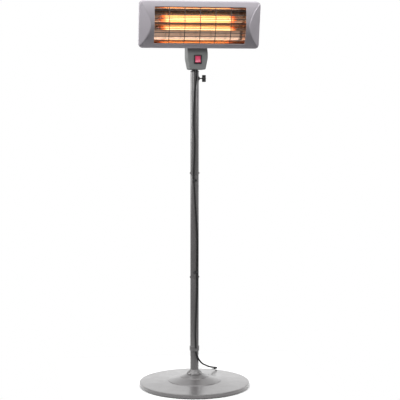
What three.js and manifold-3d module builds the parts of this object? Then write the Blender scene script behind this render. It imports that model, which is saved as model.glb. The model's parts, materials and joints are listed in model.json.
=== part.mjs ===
// A free-standing quartz patio heater: a weighted round base, a sectional steel post with a telescoping mast,
// a control box with a rocker switch, and a tilting head with two quartz tubes behind a wire guard.
// Millimetres, +Z up, the heater faces -Y, the origin is at the centre of the base, on the ground.
import * as THREE from "three";
import { mergeVertices } from "three/addons/utils/BufferGeometryUtils.js";
import Module from "manifold-3d";

const wasm = await Module();
wasm.setup();

// ---- driving dimensions ----
const GAP = 0.3; // between pieces that touch

const BASE_RADIUS = 250;
const BASE_RIM_HEIGHT = 20;
const COVER_TOP = 55; // height of the base cover's flat centre
const SHEET = 1.6; // pressed steel of the base cover
const FOOT_HEIGHT = 4;
const FOOT_CIRCLE = 215;
const BASE_BOLT_RADIUS = 5;
const BASE_BOLT_HOLE = 5.6;

const TUBE_RADIUS = 19;
const TUBE_WALL = 1.5;
const TUBE_INNER = TUBE_RADIUS - TUBE_WALL;
const SEAMS = [165, 491, 963]; // heights where the post's sections meet
const SCREW_ABOVE_SEAM = 10;
const SCREW_RADIUS = 2;
const SCREW_HEAD = 3.9;
const SCREW_HOLE = 2.4;
const SLEEVE_REACH = 30; // a sleeve's reach into each section
const SLEEVE_WALL = 1.4;
const POST_TOP = 1426.5;

const MAST_RADIUS = 14;
const MAST_WALL = 1.4;
const MAST_BOTTOM = 1012;
const MAST_TOP = 1540;

const CLAMP_HEIGHT = 1396;
const CLAMP_SCREW_RADIUS = 2.9;
const CLAMP_HOLE = 3.6;
const KNOB_X = 42; // centre of the clamp knob
const KNOB_LOBE = 5; // radius of each of its two lobes
const LOBE_OFFSET = 10.6; // of a lobe's centre above or below the knob's axis

const BOX_HALF_WIDTH = 45;
const BOX_FRONT = -90;
const BOX_REAR = 24;
const BOX_SPLIT = -34; // where the front cover meets the rear shell
const BOX_BOTTOM = 1434;
const BOX_BROW = 1508; // top of the vertical front
const BOX_TOP = 1550;
const BOX_TOP_FRONT = -55; // front edge of the box's top
const BOX_WALL = 2.5;
const BOX_TAPER = 10; // each side draws in by this much towards the bottom
const BOX_TAPER_HEIGHT = 50;
const BOX_BOTTOM_CORNER = 6;
const BOX_FRONT_CORNER = 5;
const BOX_REAR_CORNER = 24;
const BOX_SCREWS = [[-30, 1466], [30, 1466]]; // (x, z) of the screws that hold the front cover, from the rear
const SWITCH_HEIGHT = 1478;
const ROCKER_PIVOT_Y = -86;
const ROCKER_TILT = -9; // degrees, pressed at its top
const GLAND = [1, -45]; // the cord gland's place under the box

const PIVOT_Y = -22;
const PIVOT_Z = 1590;
const PIVOT_RADIUS = 4;
const BRACKET_HALF_WIDTH = 25;
const BRACKET_SHEET = 3;
const EAR_RADIUS = 11;
const HEAD_TILT = 11.7; // degrees, face down
const HEAD_FORWARD = 141; // rim centre in front of the post's axis
const HEAD_HEIGHT = 1625; // rim centre above the ground
const HEAD_WIDTH = 532;
const HEAD_DEEP = 205; // height of the head measured along its own face
const HEAD_BULGE = 28; // the barrel front stands this far in front of the rim
const FACET_START = 24; // the end facets reach 13 in front of the rim at this distance from the head's sides
const FACET_DEPTH = 13;
const FACET_SLOPE = Math.atan2(26, 48);
const RIM_CORNER = 20;
const SKIRT = 12; // the bezel's side wall, behind the rim
const BEZEL_WALL = 2.4;
const WINDOW_HALF_WIDTH = 201;
const WINDOW_HALF_HEIGHT = 80.7;
const WINDOW_CENTRE = -1.7;
const HOUSING_DEPTH = 75;
const HOUSING_SHEET = 1.6;
const VENT_SPACING = 56;
const VENT_HALF_WIDTH = 20;
const REFLECTOR_HALF_WIDTH = 206;
const REFLECTOR_SHEET = 1.2;
const TUBE_OFFSET = 21; // each quartz tube's distance from the head's centre line
const TUBE_DEPTH = 24; // behind the rim
const QUARTZ_RADIUS = 7;
const QUARTZ_WALL = 1.1;
const QUARTZ_HALF_LENGTH = 216;
const COIL_RADIUS = 5.2;
const GUARD_BARS = [10.6, 29.6, 46.6, 64.5, 80.5]; // heights above and below the guard's centre
const GUARD_CENTRE = -2.6;
const GUARD_SPACING = 67.3; // between the five upright wires
const GUARD_DEPTH = 6.5; // of the upright wires behind the barrel front
const GUARD_HALF_WIDTH = 208;
const GUARD_HALF_HEIGHT = 86;
const WIRE_RADIUS = 1.4;

const CORD_RADIUS = 3.6;
const CLIP_HEIGHTS = [942, 524];
const TIE_LINE = new THREE.Vector3(0.15238, 0.98832, 0); // in which the spare cord lies behind the base
const HANK_CENTRE = 400; // along that line
const HANK_LENGTH = 156;
const HANK_WIDTH = 38;

// The cord's route from its gland to the hank, in millimetres, chosen by hand.
const CORD_ROUTE = [
  [1, -45, 1406.5], [1, -44.5, 1398], [1, -38, 1384], [0, -28, 1366], [-3, -24, 1340], [-5, -23, 1300],
  [-7, -23, 1256], [-8, -22.5, 1205], [-7, -23, 1172], [-4, -23.3, 1140], [-3, -23.3, 1092], [-5, -23, 1040],
  [-7.5, -22.5, 990], [-8, -22.4, 942], [-6, -23, 915], [-3, -23.3, 876], [-1, -23.3, 838], [3, -23.2, 788],
  [7, -22.5, 735], [10.5, -21.5, 673], [10.5, -21.5, 600], [9.5, -21.8, 524], [10, -21.5, 460],
  [7.5, -22.3, 398],
  [3, -23.2, 310], [0.5, -23.3, 240], [2.6, -23.1, 200], [3.3, -23.1, 170], [4.2, -23.3, 157], [8, -24, 143],
  [14.5, -21.5, 128.5], [23, -10.5, 115.5], [31.5, 6, 104.5], [45, 38.5, 89.5], [64.2, 79.2, 73.5],
  [85.4, 120.4, 57], [106.6, 162.6, 43], [124, 193, 33.5], [135, 207, 29], [141, 224, 23.5],
  [137.7, 242, 15.5],
  [125.7, 256.8, 8.5], [108.8, 264, 4.6], [91.7, 266.7, 3.9], [75.9, 269.1, 3.9], [59.8, 276.1, 3.9],
  [49.4, 290.4, 3.9], [47.4, 307.9, 3.9], [48.9, 317.4, 3.9],
];
const FIRST_CLIP_POINT = 13; // the route's point that the highest clip holds

// ---- materials ----
const paint = (color, roughness, metalness) =>
  new THREE.MeshStandardMaterial({ color, roughness, metalness });
const MATERIALS = {
  greyPaint: paint(0x8d8a8b, 0.42, 0.35),
  silverPaint: paint(0xa9a4ab, 0.38, 0.5),
  darkMetal: paint(0x4a4848, 0.5, 0.6),
  zinc: paint(0xb9bcc0, 0.35, 0.9),
  mirrorAluminium: paint(0xd9dadc, 0.12, 1),
  greyPlastic: paint(0x74787a, 0.55, 0),
  blackPlastic: paint(0x1b1b1d, 0.5, 0),
  redPlastic: paint(0xc4323f, 0.3, 0),
  ceramic: paint(0xe8e4da, 0.6, 0),
  quartz: paint(0xffe2b0, 0.1, 0),
  element: paint(0xff9a3c, 0.6, 0.2),
  rubber: paint(0x141414, 0.8, 0),
  cement: paint(0x9a968e, 0.95, 0),
  brass: paint(0xc8a24a, 0.3, 0.9),
};

// ---- geometry helpers ----

// Turns a closed geometry's faces outwards, whatever way its profile ran.
function outward(geometry) {
  const plain = geometry.index ? geometry.toNonIndexed() : geometry.clone();
  const position = plain.getAttribute("position");
  const corners = [new THREE.Vector3(), new THREE.Vector3(), new THREE.Vector3()];
  let volume = 0;
  for (let i = 0; i < position.count; i += 3) {
    corners.forEach((corner, k) => corner.fromBufferAttribute(position, i + k));
    volume += corners[0].dot(corners[1].clone().cross(corners[2]));
  }
  const values = position.array.slice();
  if (volume < 0) {
    for (let i = 0; i < values.length; i += 9) {
      for (let k = 0; k < 3; k += 1) {
        [values[i + 3 + k], values[i + 6 + k]] = [values[i + 6 + k], values[i + 3 + k]];
      }
    }
  }
  const result = new THREE.BufferGeometry();
  result.setAttribute("position", new THREE.BufferAttribute(values, 3));
  return result;
}

function toSolid(geometry) {
  const merged = mergeVertices(outward(geometry), 1e-3);
  return new wasm.Manifold(
    new wasm.Mesh({
      numProp: 3,
      vertProperties: merged.getAttribute("position").array,
      triVerts: new Uint32Array(merged.index.array),
    }),
  );
}

function toGeometry(solid) {
  const mesh = solid.getMesh();
  const geometry = new THREE.BufferGeometry();
  geometry.setAttribute("position", new THREE.BufferAttribute(mesh.vertProperties, 3));
  geometry.setIndex(new THREE.BufferAttribute(mesh.triVerts, 1));
  return geometry;
}

function join(...geometries) {
  return toGeometry(geometries.map(toSolid).reduce((a, b) => a.add(b)));
}

function cut(geometry, ...tools) {
  return toGeometry(tools.map(toSolid).reduce((a, b) => a.subtract(b), toSolid(geometry)));
}

function common(...geometries) {
  return toGeometry(geometries.map(toSolid).reduce((a, b) => a.intersect(b)));
}

// Revolves [radius, height] points about Z. A profile that stays off the axis is closed on itself.
function lathe(profile, segments = 48) {
  const points = profile.map(([r, z]) => new THREE.Vector2(r, z));
  if (points[0].x > 0) points.push(points[0].clone());
  return outward(new THREE.LatheGeometry(points, segments).rotateX(Math.PI / 2));
}

function pipe(outer, inner, bottom, top, segments = 24) {
  return lathe([[inner, bottom], [outer, bottom], [outer, top], [inner, top]], segments);
}

function rod(radius, bottom, top, segments = 20) {
  return lathe([[0, bottom], [radius, bottom], [radius, top], [0, top]], segments);
}

// A rod along X between two places.
function crossRod(radius, left, right, y, z, segments = 16) {
  return rod(radius, left, right, segments).rotateY(Math.PI / 2).translate(0, y, z);
}

// A rod along +Y from one y to a larger one.
function rodAlongY(radius, y0, y1, x, z, segments = 16) {
  return rod(radius, y0, y1, segments).rotateX(-Math.PI / 2).translate(x, 0, z);
}

function block(x0, x1, y0, y1, z0, z1) {
  const box = new THREE.BoxGeometry(x1 - x0, y1 - y0, z1 - z0);
  return box.translate((x0 + x1) / 2, (y0 + y1) / 2, (z0 + z1) / 2);
}

function outline(points) {
  return new THREE.Shape(points.map(([x, y]) => new THREE.Vector2(x, y)));
}

function roundedRectangle(halfWidth, halfHeight, radius) {
  const shape = new THREE.Shape();
  shape.moveTo(halfWidth, -halfHeight + radius);
  shape.lineTo(halfWidth, halfHeight - radius);
  shape.absarc(halfWidth - radius, halfHeight - radius, radius, 0, Math.PI / 2);
  shape.lineTo(-halfWidth + radius, halfHeight);
  shape.absarc(-halfWidth + radius, halfHeight - radius, radius, Math.PI / 2, Math.PI);
  shape.lineTo(-halfWidth, -halfHeight + radius);
  shape.absarc(-halfWidth + radius, -halfHeight + radius, radius, Math.PI, Math.PI * 1.5);
  shape.lineTo(halfWidth - radius, -halfHeight);
  shape.absarc(halfWidth - radius, -halfHeight + radius, radius, Math.PI * 1.5, Math.PI * 2);
  return shape;
}

function extrude(shape, depth, curveSegments = 6) {
  return new THREE.ExtrudeGeometry(shape, { depth, bevelEnabled: false, curveSegments });
}

// A shape drawn in (x, z), extruded from one y to a larger one.
function alongY(shape, y0, y1, curveSegments) {
  return extrude(shape, y1 - y0, curveSegments).rotateX(Math.PI / 2).translate(0, y1, 0);
}

// A shape drawn in (y, z), extruded from one x to a larger one.
function alongX(shape, x0, x1, curveSegments) {
  return extrude(shape, x1 - x0, curveSegments).rotateY(Math.PI / 2).rotateX(Math.PI / 2).translate(x0, 0, 0);
}

// A shape drawn in (x, y), extruded upwards.
function alongZ(shape, z0, z1, curveSegments) {
  return extrude(shape, z1 - z0, curveSegments).translate(0, 0, z0);
}

function sweep(points, radius, sides, steps) {
  const section = new THREE.Shape();
  for (let i = 0; i < sides; i += 1) {
    const angle = (i / sides) * Math.PI * 2;
    const x = radius * Math.cos(angle);
    const y = radius * Math.sin(angle);
    if (i === 0) section.moveTo(x, y);
    else section.lineTo(x, y);
  }
  const path = new THREE.CatmullRomCurve3(points.map((p) => new THREE.Vector3(...p)), false, "centripetal");
  return new THREE.ExtrudeGeometry(section, { steps, extrudePath: path, bevelEnabled: false });
}

// A closed skin through rounded rectangles [halfWidth, halfHeight, radius, y].
function loft(sections) {
  const around = 52; // points on each ring
  const rings = sections.map(([halfWidth, halfHeight, radius, y]) => {
    const points = roundedRectangle(halfWidth, halfHeight, radius).getSpacedPoints(around).slice(0, around);
    return points.map((p) => new THREE.Vector3(p.x, y, p.y));
  });
  const values = [];
  const triangle = (a, b, c) => [a, b, c].forEach((p) => values.push(p.x, p.y, p.z));
  for (let k = 0; k + 1 < rings.length; k += 1) {
    const near = rings[k];
    const far = rings[k + 1];
    near.forEach((p, i) => {
      const next = (i + 1) % near.length;
      triangle(p, near[next], far[next]);
      triangle(p, far[next], far[i]);
    });
  }
  const cap = (ring, sign) => {
    const centre = new THREE.Vector3(0, ring[0].y, 0);
    ring.forEach((p, i) => {
      const next = ring[(i + 1) % ring.length];
      if (sign > 0) triangle(centre, p, next);
      else triangle(centre, next, p);
    });
  };
  cap(rings[0], -1);
  cap(rings[rings.length - 1], 1);
  const geometry = new THREE.BufferGeometry();
  geometry.setAttribute("position", new THREE.BufferAttribute(new Float32Array(values), 3));
  return outward(geometry);
}

// ---- assembly ----
const heater = new THREE.Group();
const head = new THREE.Group(); // has its own frame: X across, Z up along the face, -Y forward of the rim
head.position.set(0, -HEAD_FORWARD, HEAD_HEIGHT);
head.rotation.x = THREE.MathUtils.degToRad(HEAD_TILT);
heater.add(head);

function add(parent, name, geometry, material) {
  const mesh = new THREE.Mesh(geometry, material.clone());
  mesh.geometry.computeVertexNormals();
  mesh.name = name;
  parent.add(mesh);
  return mesh;
}

// ---- base ----
const COVER_OUTSIDE = [ // radius and height of the cover's outer surface, from its centre to its lower edge
  [BASE_BOLT_HOLE, COVER_TOP], [36.5, COVER_TOP], [64, 44], [65.5, 42.3], [120.5, 28.6], [123, 26.2],
  [243, BASE_RIM_HEIGHT],
  [BASE_RADIUS - 1.2, BASE_RIM_HEIGHT - 1.1], [BASE_RADIUS, BASE_RIM_HEIGHT - 2.4], [BASE_RADIUS, 3],
];

function baseCover() {
  const inside = COVER_OUTSIDE.map(([r, z]) => [Math.min(r, BASE_RADIUS - SHEET), Math.max(z - SHEET, 3)]);
  return lathe([...COVER_OUTSIDE, ...inside.reverse()], 44);
}

function addBase() {
  const { greyPaint, cement, darkMetal, rubber, zinc } = MATERIALS;
  add(heater, "base_cover", baseCover(), greyPaint);
  const panTop = FOOT_HEIGHT + 2;
  const weight = [
    [6, panTop + GAP], [240, panTop + GAP], [240, 17.2], [124, 23.6], [120, 25.6], [54, 41.5],
    [33, 51.5], [6, 51.5],
  ];
  add(heater, "base_weight", lathe(weight, 30), cement);
  add(heater, "base_pan", pipe(243, BASE_BOLT_HOLE, FOOT_HEIGHT, panTop, 30), darkMetal);
  const names = ["front_right", "rear_right", "rear_left", "front_left"];
  names.forEach((name, i) => {
    const angle = Math.PI * (-0.25 + 0.5 * i);
    const foot = lathe([[0, 0], [11, 0], [13, 1.5], [13, FOOT_HEIGHT - GAP], [0, FOOT_HEIGHT - GAP]], 14);
    add(heater, "foot_" + name, foot, rubber)
      .position.set(FOOT_CIRCLE * Math.cos(angle), FOOT_CIRCLE * Math.sin(angle), 0);
  });
  const boltHead = FOOT_HEIGHT - GAP;
  const bolt = [
    [0, 0.8], [10, 0.8], [10, boltHead], [BASE_BOLT_RADIUS, boltHead], [BASE_BOLT_RADIUS, 70], [0, 70],
  ];
  add(heater, "base_bolt", lathe(bolt, 20), zinc);
}

// ---- post ----
function screwHole(height) {
  return crossRod(SCREW_HOLE, -TUBE_RADIUS - 2, TUBE_RADIUS + 2, 0, height, 12);
}

function clampHole() {
  return crossRod(CLAMP_HOLE, 10, TUBE_RADIUS + 2, 0, CLAMP_HEIGHT, 12);
}

function addPost() {
  const { greyPaint, darkMetal, zinc, blackPlastic } = MATERIALS;
  const screws = SEAMS.map((seam) => seam + SCREW_ABOVE_SEAM);
  const socketFloor = 73;
  const socket = lathe([
    [BASE_BOLT_HOLE, COVER_TOP + GAP], [36, COVER_TOP + GAP], [36, 57.5], [32.5, 63.5], [26, 69.5],
    [20.5, 74], [TUBE_RADIUS, 76],
    [TUBE_RADIUS, SEAMS[0] - GAP / 2], [TUBE_INNER, SEAMS[0] - GAP / 2], [TUBE_INNER, socketFloor],
    [BASE_BOLT_HOLE, socketFloor],
  ], 24);
  add(heater, "post_socket", socket, greyPaint);
  const names = ["lower_tube", "middle_tube", "upper_tube"];
  const tops = [SEAMS[1] - GAP / 2, SEAMS[2] - GAP / 2, POST_TOP];
  names.forEach((name, i) => {
    const tube = pipe(TUBE_RADIUS, TUBE_INNER, SEAMS[i] + GAP / 2, tops[i]);
    const holes = [screwHole(screws[i])];
    if (name === "upper_tube") holes.push(clampHole());
    add(heater, name, cut(tube, ...holes), greyPaint);
  });
  const sleeveRadius = TUBE_INNER - GAP;
  const screwProfile = [
    [0, TUBE_RADIUS - 5], [SCREW_RADIUS, TUBE_RADIUS - 5], [SCREW_RADIUS, TUBE_RADIUS + GAP],
    [SCREW_HEAD, TUBE_RADIUS + GAP], [3.4, TUBE_RADIUS + 2.1], [SCREW_RADIUS, TUBE_RADIUS + 2.8],
    [0, TUBE_RADIUS + 2.8],
  ];
  ["foot_sleeve", "lower_sleeve", "upper_sleeve"].forEach((name, i) => {
    const [bottom, top] = [SEAMS[i] - SLEEVE_REACH, SEAMS[i] + SLEEVE_REACH];
    const sleeve = pipe(sleeveRadius, sleeveRadius - SLEEVE_WALL, bottom, top);
    add(heater, name, cut(sleeve, screwHole(screws[i])), darkMetal);
    [["left", -1], ["right", 1]].forEach(([side, sign]) => {
      const screw = lathe(screwProfile, 10).rotateY((sign * Math.PI) / 2).translate(0, 0, screws[i]);
      add(heater, "seam_screw_" + (i + 1) + "_" + side, screw, zinc);
    });
  });
  const bushBore = MAST_RADIUS + GAP;
  const bushBottom = 1382;
  const bush = lathe([
    [bushBore, bushBottom], [sleeveRadius, bushBottom], [sleeveRadius, POST_TOP + GAP],
    [TUBE_RADIUS + 0.6, POST_TOP + GAP], [TUBE_RADIUS + 0.6, POST_TOP + 3], [TUBE_RADIUS - 0.6, POST_TOP + 4],
    [bushBore, POST_TOP + 4],
  ], 24);
  add(heater, "top_bush", cut(bush, clampHole()), blackPlastic);
}

// A clip is a ring round the cord, with a strap from it to a screwed tab that lies on the post.
const CLIP_PLACES = [[13, 1], [21, -1]]; // the route's point in each strap clip, and its tab's side
const BAND_POINT = 27; // the route's point in the clip that goes round the post
const BAND_RADIUS = 21.7;
const BAND_BOTTOM = 161.5;
const BAND_TOP = 184.5;

function clipShape(x, y, side) {
  const bore = CORD_RADIUS + 3 * GAP;
  const tabReach = 9.5; // from the cord to the tab, round the post
  const away = Math.atan2(y, x) + (side * tabReach) / TUBE_RADIUS;
  const seat = [(TUBE_RADIUS + 1.6) * Math.cos(away), (TUBE_RADIUS + 1.6) * Math.sin(away)];
  const onSeat = (geometry) => geometry.rotateY(Math.PI / 2).rotateZ(away).translate(...seat, 0);
  const ring = pipe(CORD_RADIUS + 2.2, bore, -5, 5, 12).translate(x, y, 0);
  const tab = onSeat(rod(4.2, -GAP - 0.9, 1.2, 10));
  const screwHead = onSeat(rod(2.6, 0, 2.2, 8));
  const middle = [(x + seat[0]) / 2 + side * 1.6, (y + seat[1]) / 2 + 0.15, 0];
  const strap = sweep([[x + side * 4.2, y, 0], middle, [...seat, 0]], 1.2, 6, 4);
  const clear = join(rod(bore, -8, 8, 12).translate(x, y, 0), rod(TUBE_RADIUS + GAP, -8, 8, 24));
  return cut(join(ring, tab, screwHead, strap), clear);
}

// A band round the post, with a ring for the cord and an opening over each seam screw.
function bandShape() {
  const [x, y, height] = CORD_ROUTE[BAND_POINT];
  const bore = CORD_RADIUS + 3 * GAP;
  const band = pipe(BAND_RADIUS, TUBE_RADIUS + GAP, BAND_BOTTOM, BAND_TOP, 28);
  const ring = pipe(CORD_RADIUS + 2.2, bore, height - 6, height + 6, 16).translate(x, y, 0);
  const channel = rod(bore, BAND_BOTTOM - 2, BAND_TOP + 2, 16).translate(x, y, 0);
  const post = rod(TUBE_RADIUS + GAP, BAND_BOTTOM - 2, BAND_TOP + 2, 28);
  const reach = BAND_RADIUS + 3;
  const openings = rod(SCREW_HEAD + GAP, -reach, reach, 16).rotateY(Math.PI / 2)
    .translate(0, 0, SEAMS[0] + SCREW_ABOVE_SEAM);
  return cut(join(band, ring), channel, post, openings);
}

function addClips() {
  const { blackPlastic, greyPaint } = MATERIALS;
  CLIP_PLACES.forEach(([index, side], i) => {
    const [x, y] = CORD_ROUTE[index];
    add(heater, "cord_clip_" + (i + 1), clipShape(x, y, side).translate(0, 0, CLIP_HEIGHTS[i]), blackPlastic);
  });
  add(heater, "cord_clip_3", bandShape(), greyPaint);
}

// ---- mast and its clamp ----
function addMast() {
  const { blackPlastic, darkMetal } = MATERIALS;
  add(heater, "mast_tube", pipe(MAST_RADIUS, MAST_RADIUS - MAST_WALL, MAST_BOTTOM, MAST_TOP), darkMetal);
  const plug = MAST_RADIUS - MAST_WALL - GAP; // radius of the slider's part inside the mast
  const slider = lathe([
    [0, MAST_BOTTOM - 5], [TUBE_INNER - GAP, MAST_BOTTOM - 5], [TUBE_INNER - GAP, MAST_BOTTOM - GAP],
    [plug, MAST_BOTTOM - GAP], [plug, MAST_BOTTOM + 14], [0, MAST_BOTTOM + 14],
  ], 24);
  add(heater, "mast_slider", slider, blackPlastic);
}

function addClamp() {
  const { greyPaint, zinc, blackPlastic } = MATERIALS;
  const boss = join(
    crossRod(8, TUBE_RADIUS - 2, TUBE_RADIUS + 3, 0, CLAMP_HEIGHT, 24),
    crossRod(6, TUBE_RADIUS + 2, TUBE_RADIUS + 5, 0, CLAMP_HEIGHT, 6),
  );
  const clear = join(
    rod(TUBE_RADIUS + GAP, CLAMP_HEIGHT - 10, CLAMP_HEIGHT + 10, 24),
    crossRod(CLAMP_SCREW_RADIUS + GAP, 0, 40, 0, CLAMP_HEIGHT, 14),
  );
  add(heater, "clamp_boss", cut(boss, clear), greyPaint);
  const screwEnd = KNOB_X - 2;
  const screw = crossRod(CLAMP_SCREW_RADIUS, MAST_RADIUS + GAP, screwEnd, 0, CLAMP_HEIGHT, 14);
  add(heater, "clamp_screw", screw, zinc);
  const lobes = [-1, 1].map((sign) =>
    crossRod(KNOB_LOBE, KNOB_X - 6.5, KNOB_X + 6.5, 0, CLAMP_HEIGHT + sign * LOBE_OFFSET, 16));
  const knob = join(
    crossRod(7, KNOB_X - 9, KNOB_X + 4, 0, CLAMP_HEIGHT, 20),
    crossRod(5.5, KNOB_X + 3, KNOB_X + 8, 0, CLAMP_HEIGHT, 20),
    ...lobes,
  );
  const bore = crossRod(CLAMP_SCREW_RADIUS + GAP, KNOB_X - 10, screwEnd + GAP, 0, CLAMP_HEIGHT, 14);
  add(heater, "clamp_knob", cut(knob, bore), blackPlastic);
}

// ---- control box ----

// The box seen from its side, in (y, z): a vertical front with a sloping brow above it.
function boxSide(inset) {
  return outline([
    [BOX_FRONT + inset, BOX_BOTTOM + inset], [BOX_REAR - inset, BOX_BOTTOM + inset],
    [BOX_REAR - inset, BOX_TOP - inset], [BOX_TOP_FRONT + inset / 2, BOX_TOP - inset],
    [BOX_FRONT + inset, BOX_BROW - inset / 2],
  ]);
}

// The box seen from its front, in (x, z): the sides draw in towards the bottom.
function boxFace(inset) {
  const width = BOX_HALF_WIDTH - inset;
  const narrow = width - BOX_TAPER;
  const bottom = BOX_BOTTOM + inset;
  const corner = BOX_BOTTOM_CORNER - inset;
  const face = new THREE.Shape();
  face.moveTo(width, BOX_BOTTOM + BOX_TAPER_HEIGHT);
  face.lineTo(width, BOX_TOP + 10);
  face.lineTo(-width, BOX_TOP + 10);
  face.lineTo(-width, BOX_BOTTOM + BOX_TAPER_HEIGHT);
  face.lineTo(-narrow, bottom + corner);
  face.absarc(-narrow + corner, bottom + corner, corner, Math.PI, Math.PI * 1.5);
  face.absarc(narrow - corner, bottom + corner, corner, Math.PI * 1.5, Math.PI * 2);
  return face;
}

// The box seen from above, in (x, y): small corners in front and large ones behind.
function boxPlan(inset) {
  const width = BOX_HALF_WIDTH - inset;
  const front = BOX_FRONT + inset;
  const rear = BOX_REAR - inset;
  const rearCorner = BOX_REAR_CORNER - inset;
  const frontCorner = BOX_FRONT_CORNER - inset * 0.8;
  const plan = new THREE.Shape();
  plan.moveTo(width, front + frontCorner);
  plan.lineTo(width, rear - rearCorner);
  plan.absarc(width - rearCorner, rear - rearCorner, rearCorner, 0, Math.PI / 2);
  plan.absarc(-width + rearCorner, rear - rearCorner, rearCorner, Math.PI / 2, Math.PI);
  plan.lineTo(-width, front + frontCorner);
  plan.absarc(-width + frontCorner, front + frontCorner, frontCorner, Math.PI, Math.PI * 1.5);
  plan.absarc(width - frontCorner, front + frontCorner, frontCorner, Math.PI * 1.5, Math.PI * 2);
  return plan;
}

function boxBody(inset) {
  return common(
    alongX(boxSide(inset), -60, 60),
    alongY(boxFace(inset), BOX_FRONT - 20, BOX_REAR + 20, 5),
    alongZ(boxPlan(inset), BOX_BOTTOM - 20, BOX_TOP + 20, 5),
  );
}

function addControlBox() {
  const { greyPlastic, zinc } = MATERIALS;
  const pillar = 4.5; // radius of the pillars that the screws run in
  const frontFace = BOX_SPLIT - GAP / 2;
  const rearFace = BOX_SPLIT + GAP / 2;
  const headSeat = -12; // the screws' heads bear here, deep in the rear shell
  const shell = cut(boxBody(0), boxBody(BOX_WALL));
  const inside = boxBody(BOX_WALL - 0.5);
  const eachScrew = (make) => BOX_SCREWS.map(([x, z]) => make(x, z));

  const frontHalf = common(shell, block(-80, 80, -150, frontFace, 1400, 1600));
  const bosses = common(join(...eachScrew((x, z) => rodAlongY(pillar, -90, frontFace, x, z))), inside);
  const front = cut(
    join(frontHalf, bosses),
    block(-15.2, 15.2, BOX_FRONT - 5, BOX_FRONT + 8, SWITCH_HEIGHT - 17.7, SWITCH_HEIGHT + 17.7),
    rod(6.3, BOX_BOTTOM - 5, BOX_BOTTOM + 6, 20).translate(...GLAND, 0),
    ...eachScrew((x, z) => rodAlongY(1.9, -64, BOX_SPLIT + 1, x, z, 12)),
  );
  add(heater, "box_front", front, greyPlastic);

  const rearHalf = common(shell, block(-80, 80, rearFace, 80, 1400, 1600));
  const pillars = common(join(...eachScrew((x, z) => rodAlongY(pillar, rearFace, 26, x, z))), inside);
  const rear = cut(
    join(rearHalf, pillars),
    rod(MAST_RADIUS + GAP, BOX_BOTTOM - 5, BOX_BOTTOM + 10, 28),
    ...eachScrew((x, z) => rodAlongY(SCREW_HOLE, BOX_SPLIT - 1, 46, x, z, 12)),
    ...eachScrew((x, z) => rodAlongY(4.2, headSeat, 48, x, z)),
  );
  add(heater, "box_rear", rear, greyPlastic);

  const shank = 1.6;
  const screwProfile = [
    [0, -47.3], [shank, -47.3], [shank, headSeat + GAP], [3.8, headSeat + GAP], [3.8, headSeat + 2.7],
    [0, headSeat + 2.7],
  ];
  BOX_SCREWS.forEach(([x, z], i) => {
    const screw = lathe(screwProfile, 10).rotateX(-Math.PI / 2).translate(x, 0, z);
    add(heater, "box_screw_" + (i + 1), screw, zinc);
  });
}

function addSwitch() {
  const { blackPlastic, redPlastic } = MATERIALS;
  const flange = alongY(roundedRectangle(17.5, 20, 3), BOX_FRONT - 3.4, BOX_FRONT - GAP, 4);
  const body = block(-14.8, 14.8, BOX_FRONT - 1, BOX_FRONT + 22, -17.3, 17.3);
  const well = block(-12.5, 12.5, BOX_FRONT - 5, BOX_FRONT + 18, -16, 16);
  add(heater, "switch_frame", cut(join(flange, body), well).translate(0, 0, SWITCH_HEIGHT), blackPlastic);
  const rockerProfile = outline([
    [-7.6, 14.4], [-5.6, 7], [-5, 0], [-5.6, -7], [-7.6, -14.4], [-3, -14.4], [4, -9], [8, -4], [8, 4],
    [4, 9],
    [-3, 14.4],
  ]);
  const rocker = add(heater, "rocker", alongX(rockerProfile, -12, 12), redPlastic);
  rocker.rotation.x = THREE.MathUtils.degToRad(ROCKER_TILT);
  rocker.position.set(0, ROCKER_PIVOT_Y, SWITCH_HEIGHT);
}

function addBoxInside() {
  const { blackPlastic, brass } = MATERIALS;
  add(heater, "terminal_block", block(-22, 22, -60, -44, 1512, 1530), brass);
  const tipSensor = rod(5, 1457, 1463, 12).translate(-18, -53, 0);
  const tipSwitch = join(block(-26, -10, -62, -44, 1440, 1458), tipSensor);
  add(heater, "tip_switch", tipSwitch, blackPlastic);
}

// A nut against the box, a thread through its floor and a tapered sleeve below.
function addGland() {
  const sleeveEnd = 1407.3;
  const gland = lathe([
    [0, sleeveEnd], [4.5, sleeveEnd], [5.6, 1427], [7.5, 1428], [7.5, BOX_BOTTOM - GAP],
    [6, BOX_BOTTOM - GAP],
    [6, BOX_BOTTOM + 7], [0, BOX_BOTTOM + 7],
  ], 20);
  add(heater, "cord_gland", gland.translate(...GLAND, 0), MATERIALS.blackPlastic);
}

// The bracket for the head: a plate on the box with two ears.
function addBracket() {
  const seat = BOX_TOP + GAP;
  const plate = block(-BRACKET_HALF_WIDTH, BRACKET_HALF_WIDTH, -40, 14, seat, seat + BRACKET_SHEET);
  const ear = new THREE.Shape();
  ear.moveTo(-40, BOX_TOP + 1);
  ear.lineTo(-6, BOX_TOP + 1);
  ear.lineTo(PIVOT_Y + EAR_RADIUS, PIVOT_Z);
  ear.absarc(PIVOT_Y, PIVOT_Z, EAR_RADIUS, 0, Math.PI);
  const inner = BRACKET_HALF_WIDTH - BRACKET_SHEET;
  const ears = [alongX(ear, -BRACKET_HALF_WIDTH, -inner, 8), alongX(ear, inner, BRACKET_HALF_WIDTH, 8)];
  const bore = crossRod(PIVOT_RADIUS + GAP, -30, 30, PIVOT_Y, PIVOT_Z, 20);
  add(heater, "tilt_bracket", cut(join(plate, ...ears), bore), MATERIALS.darkMetal);
}

// ---- head ----

// How far the front stands out in front of the rim at height v.
function barrel(v) {
  return HEAD_BULGE * (1 - Math.abs(v / (HEAD_DEEP / 2)) ** 1.6);
}

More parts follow.
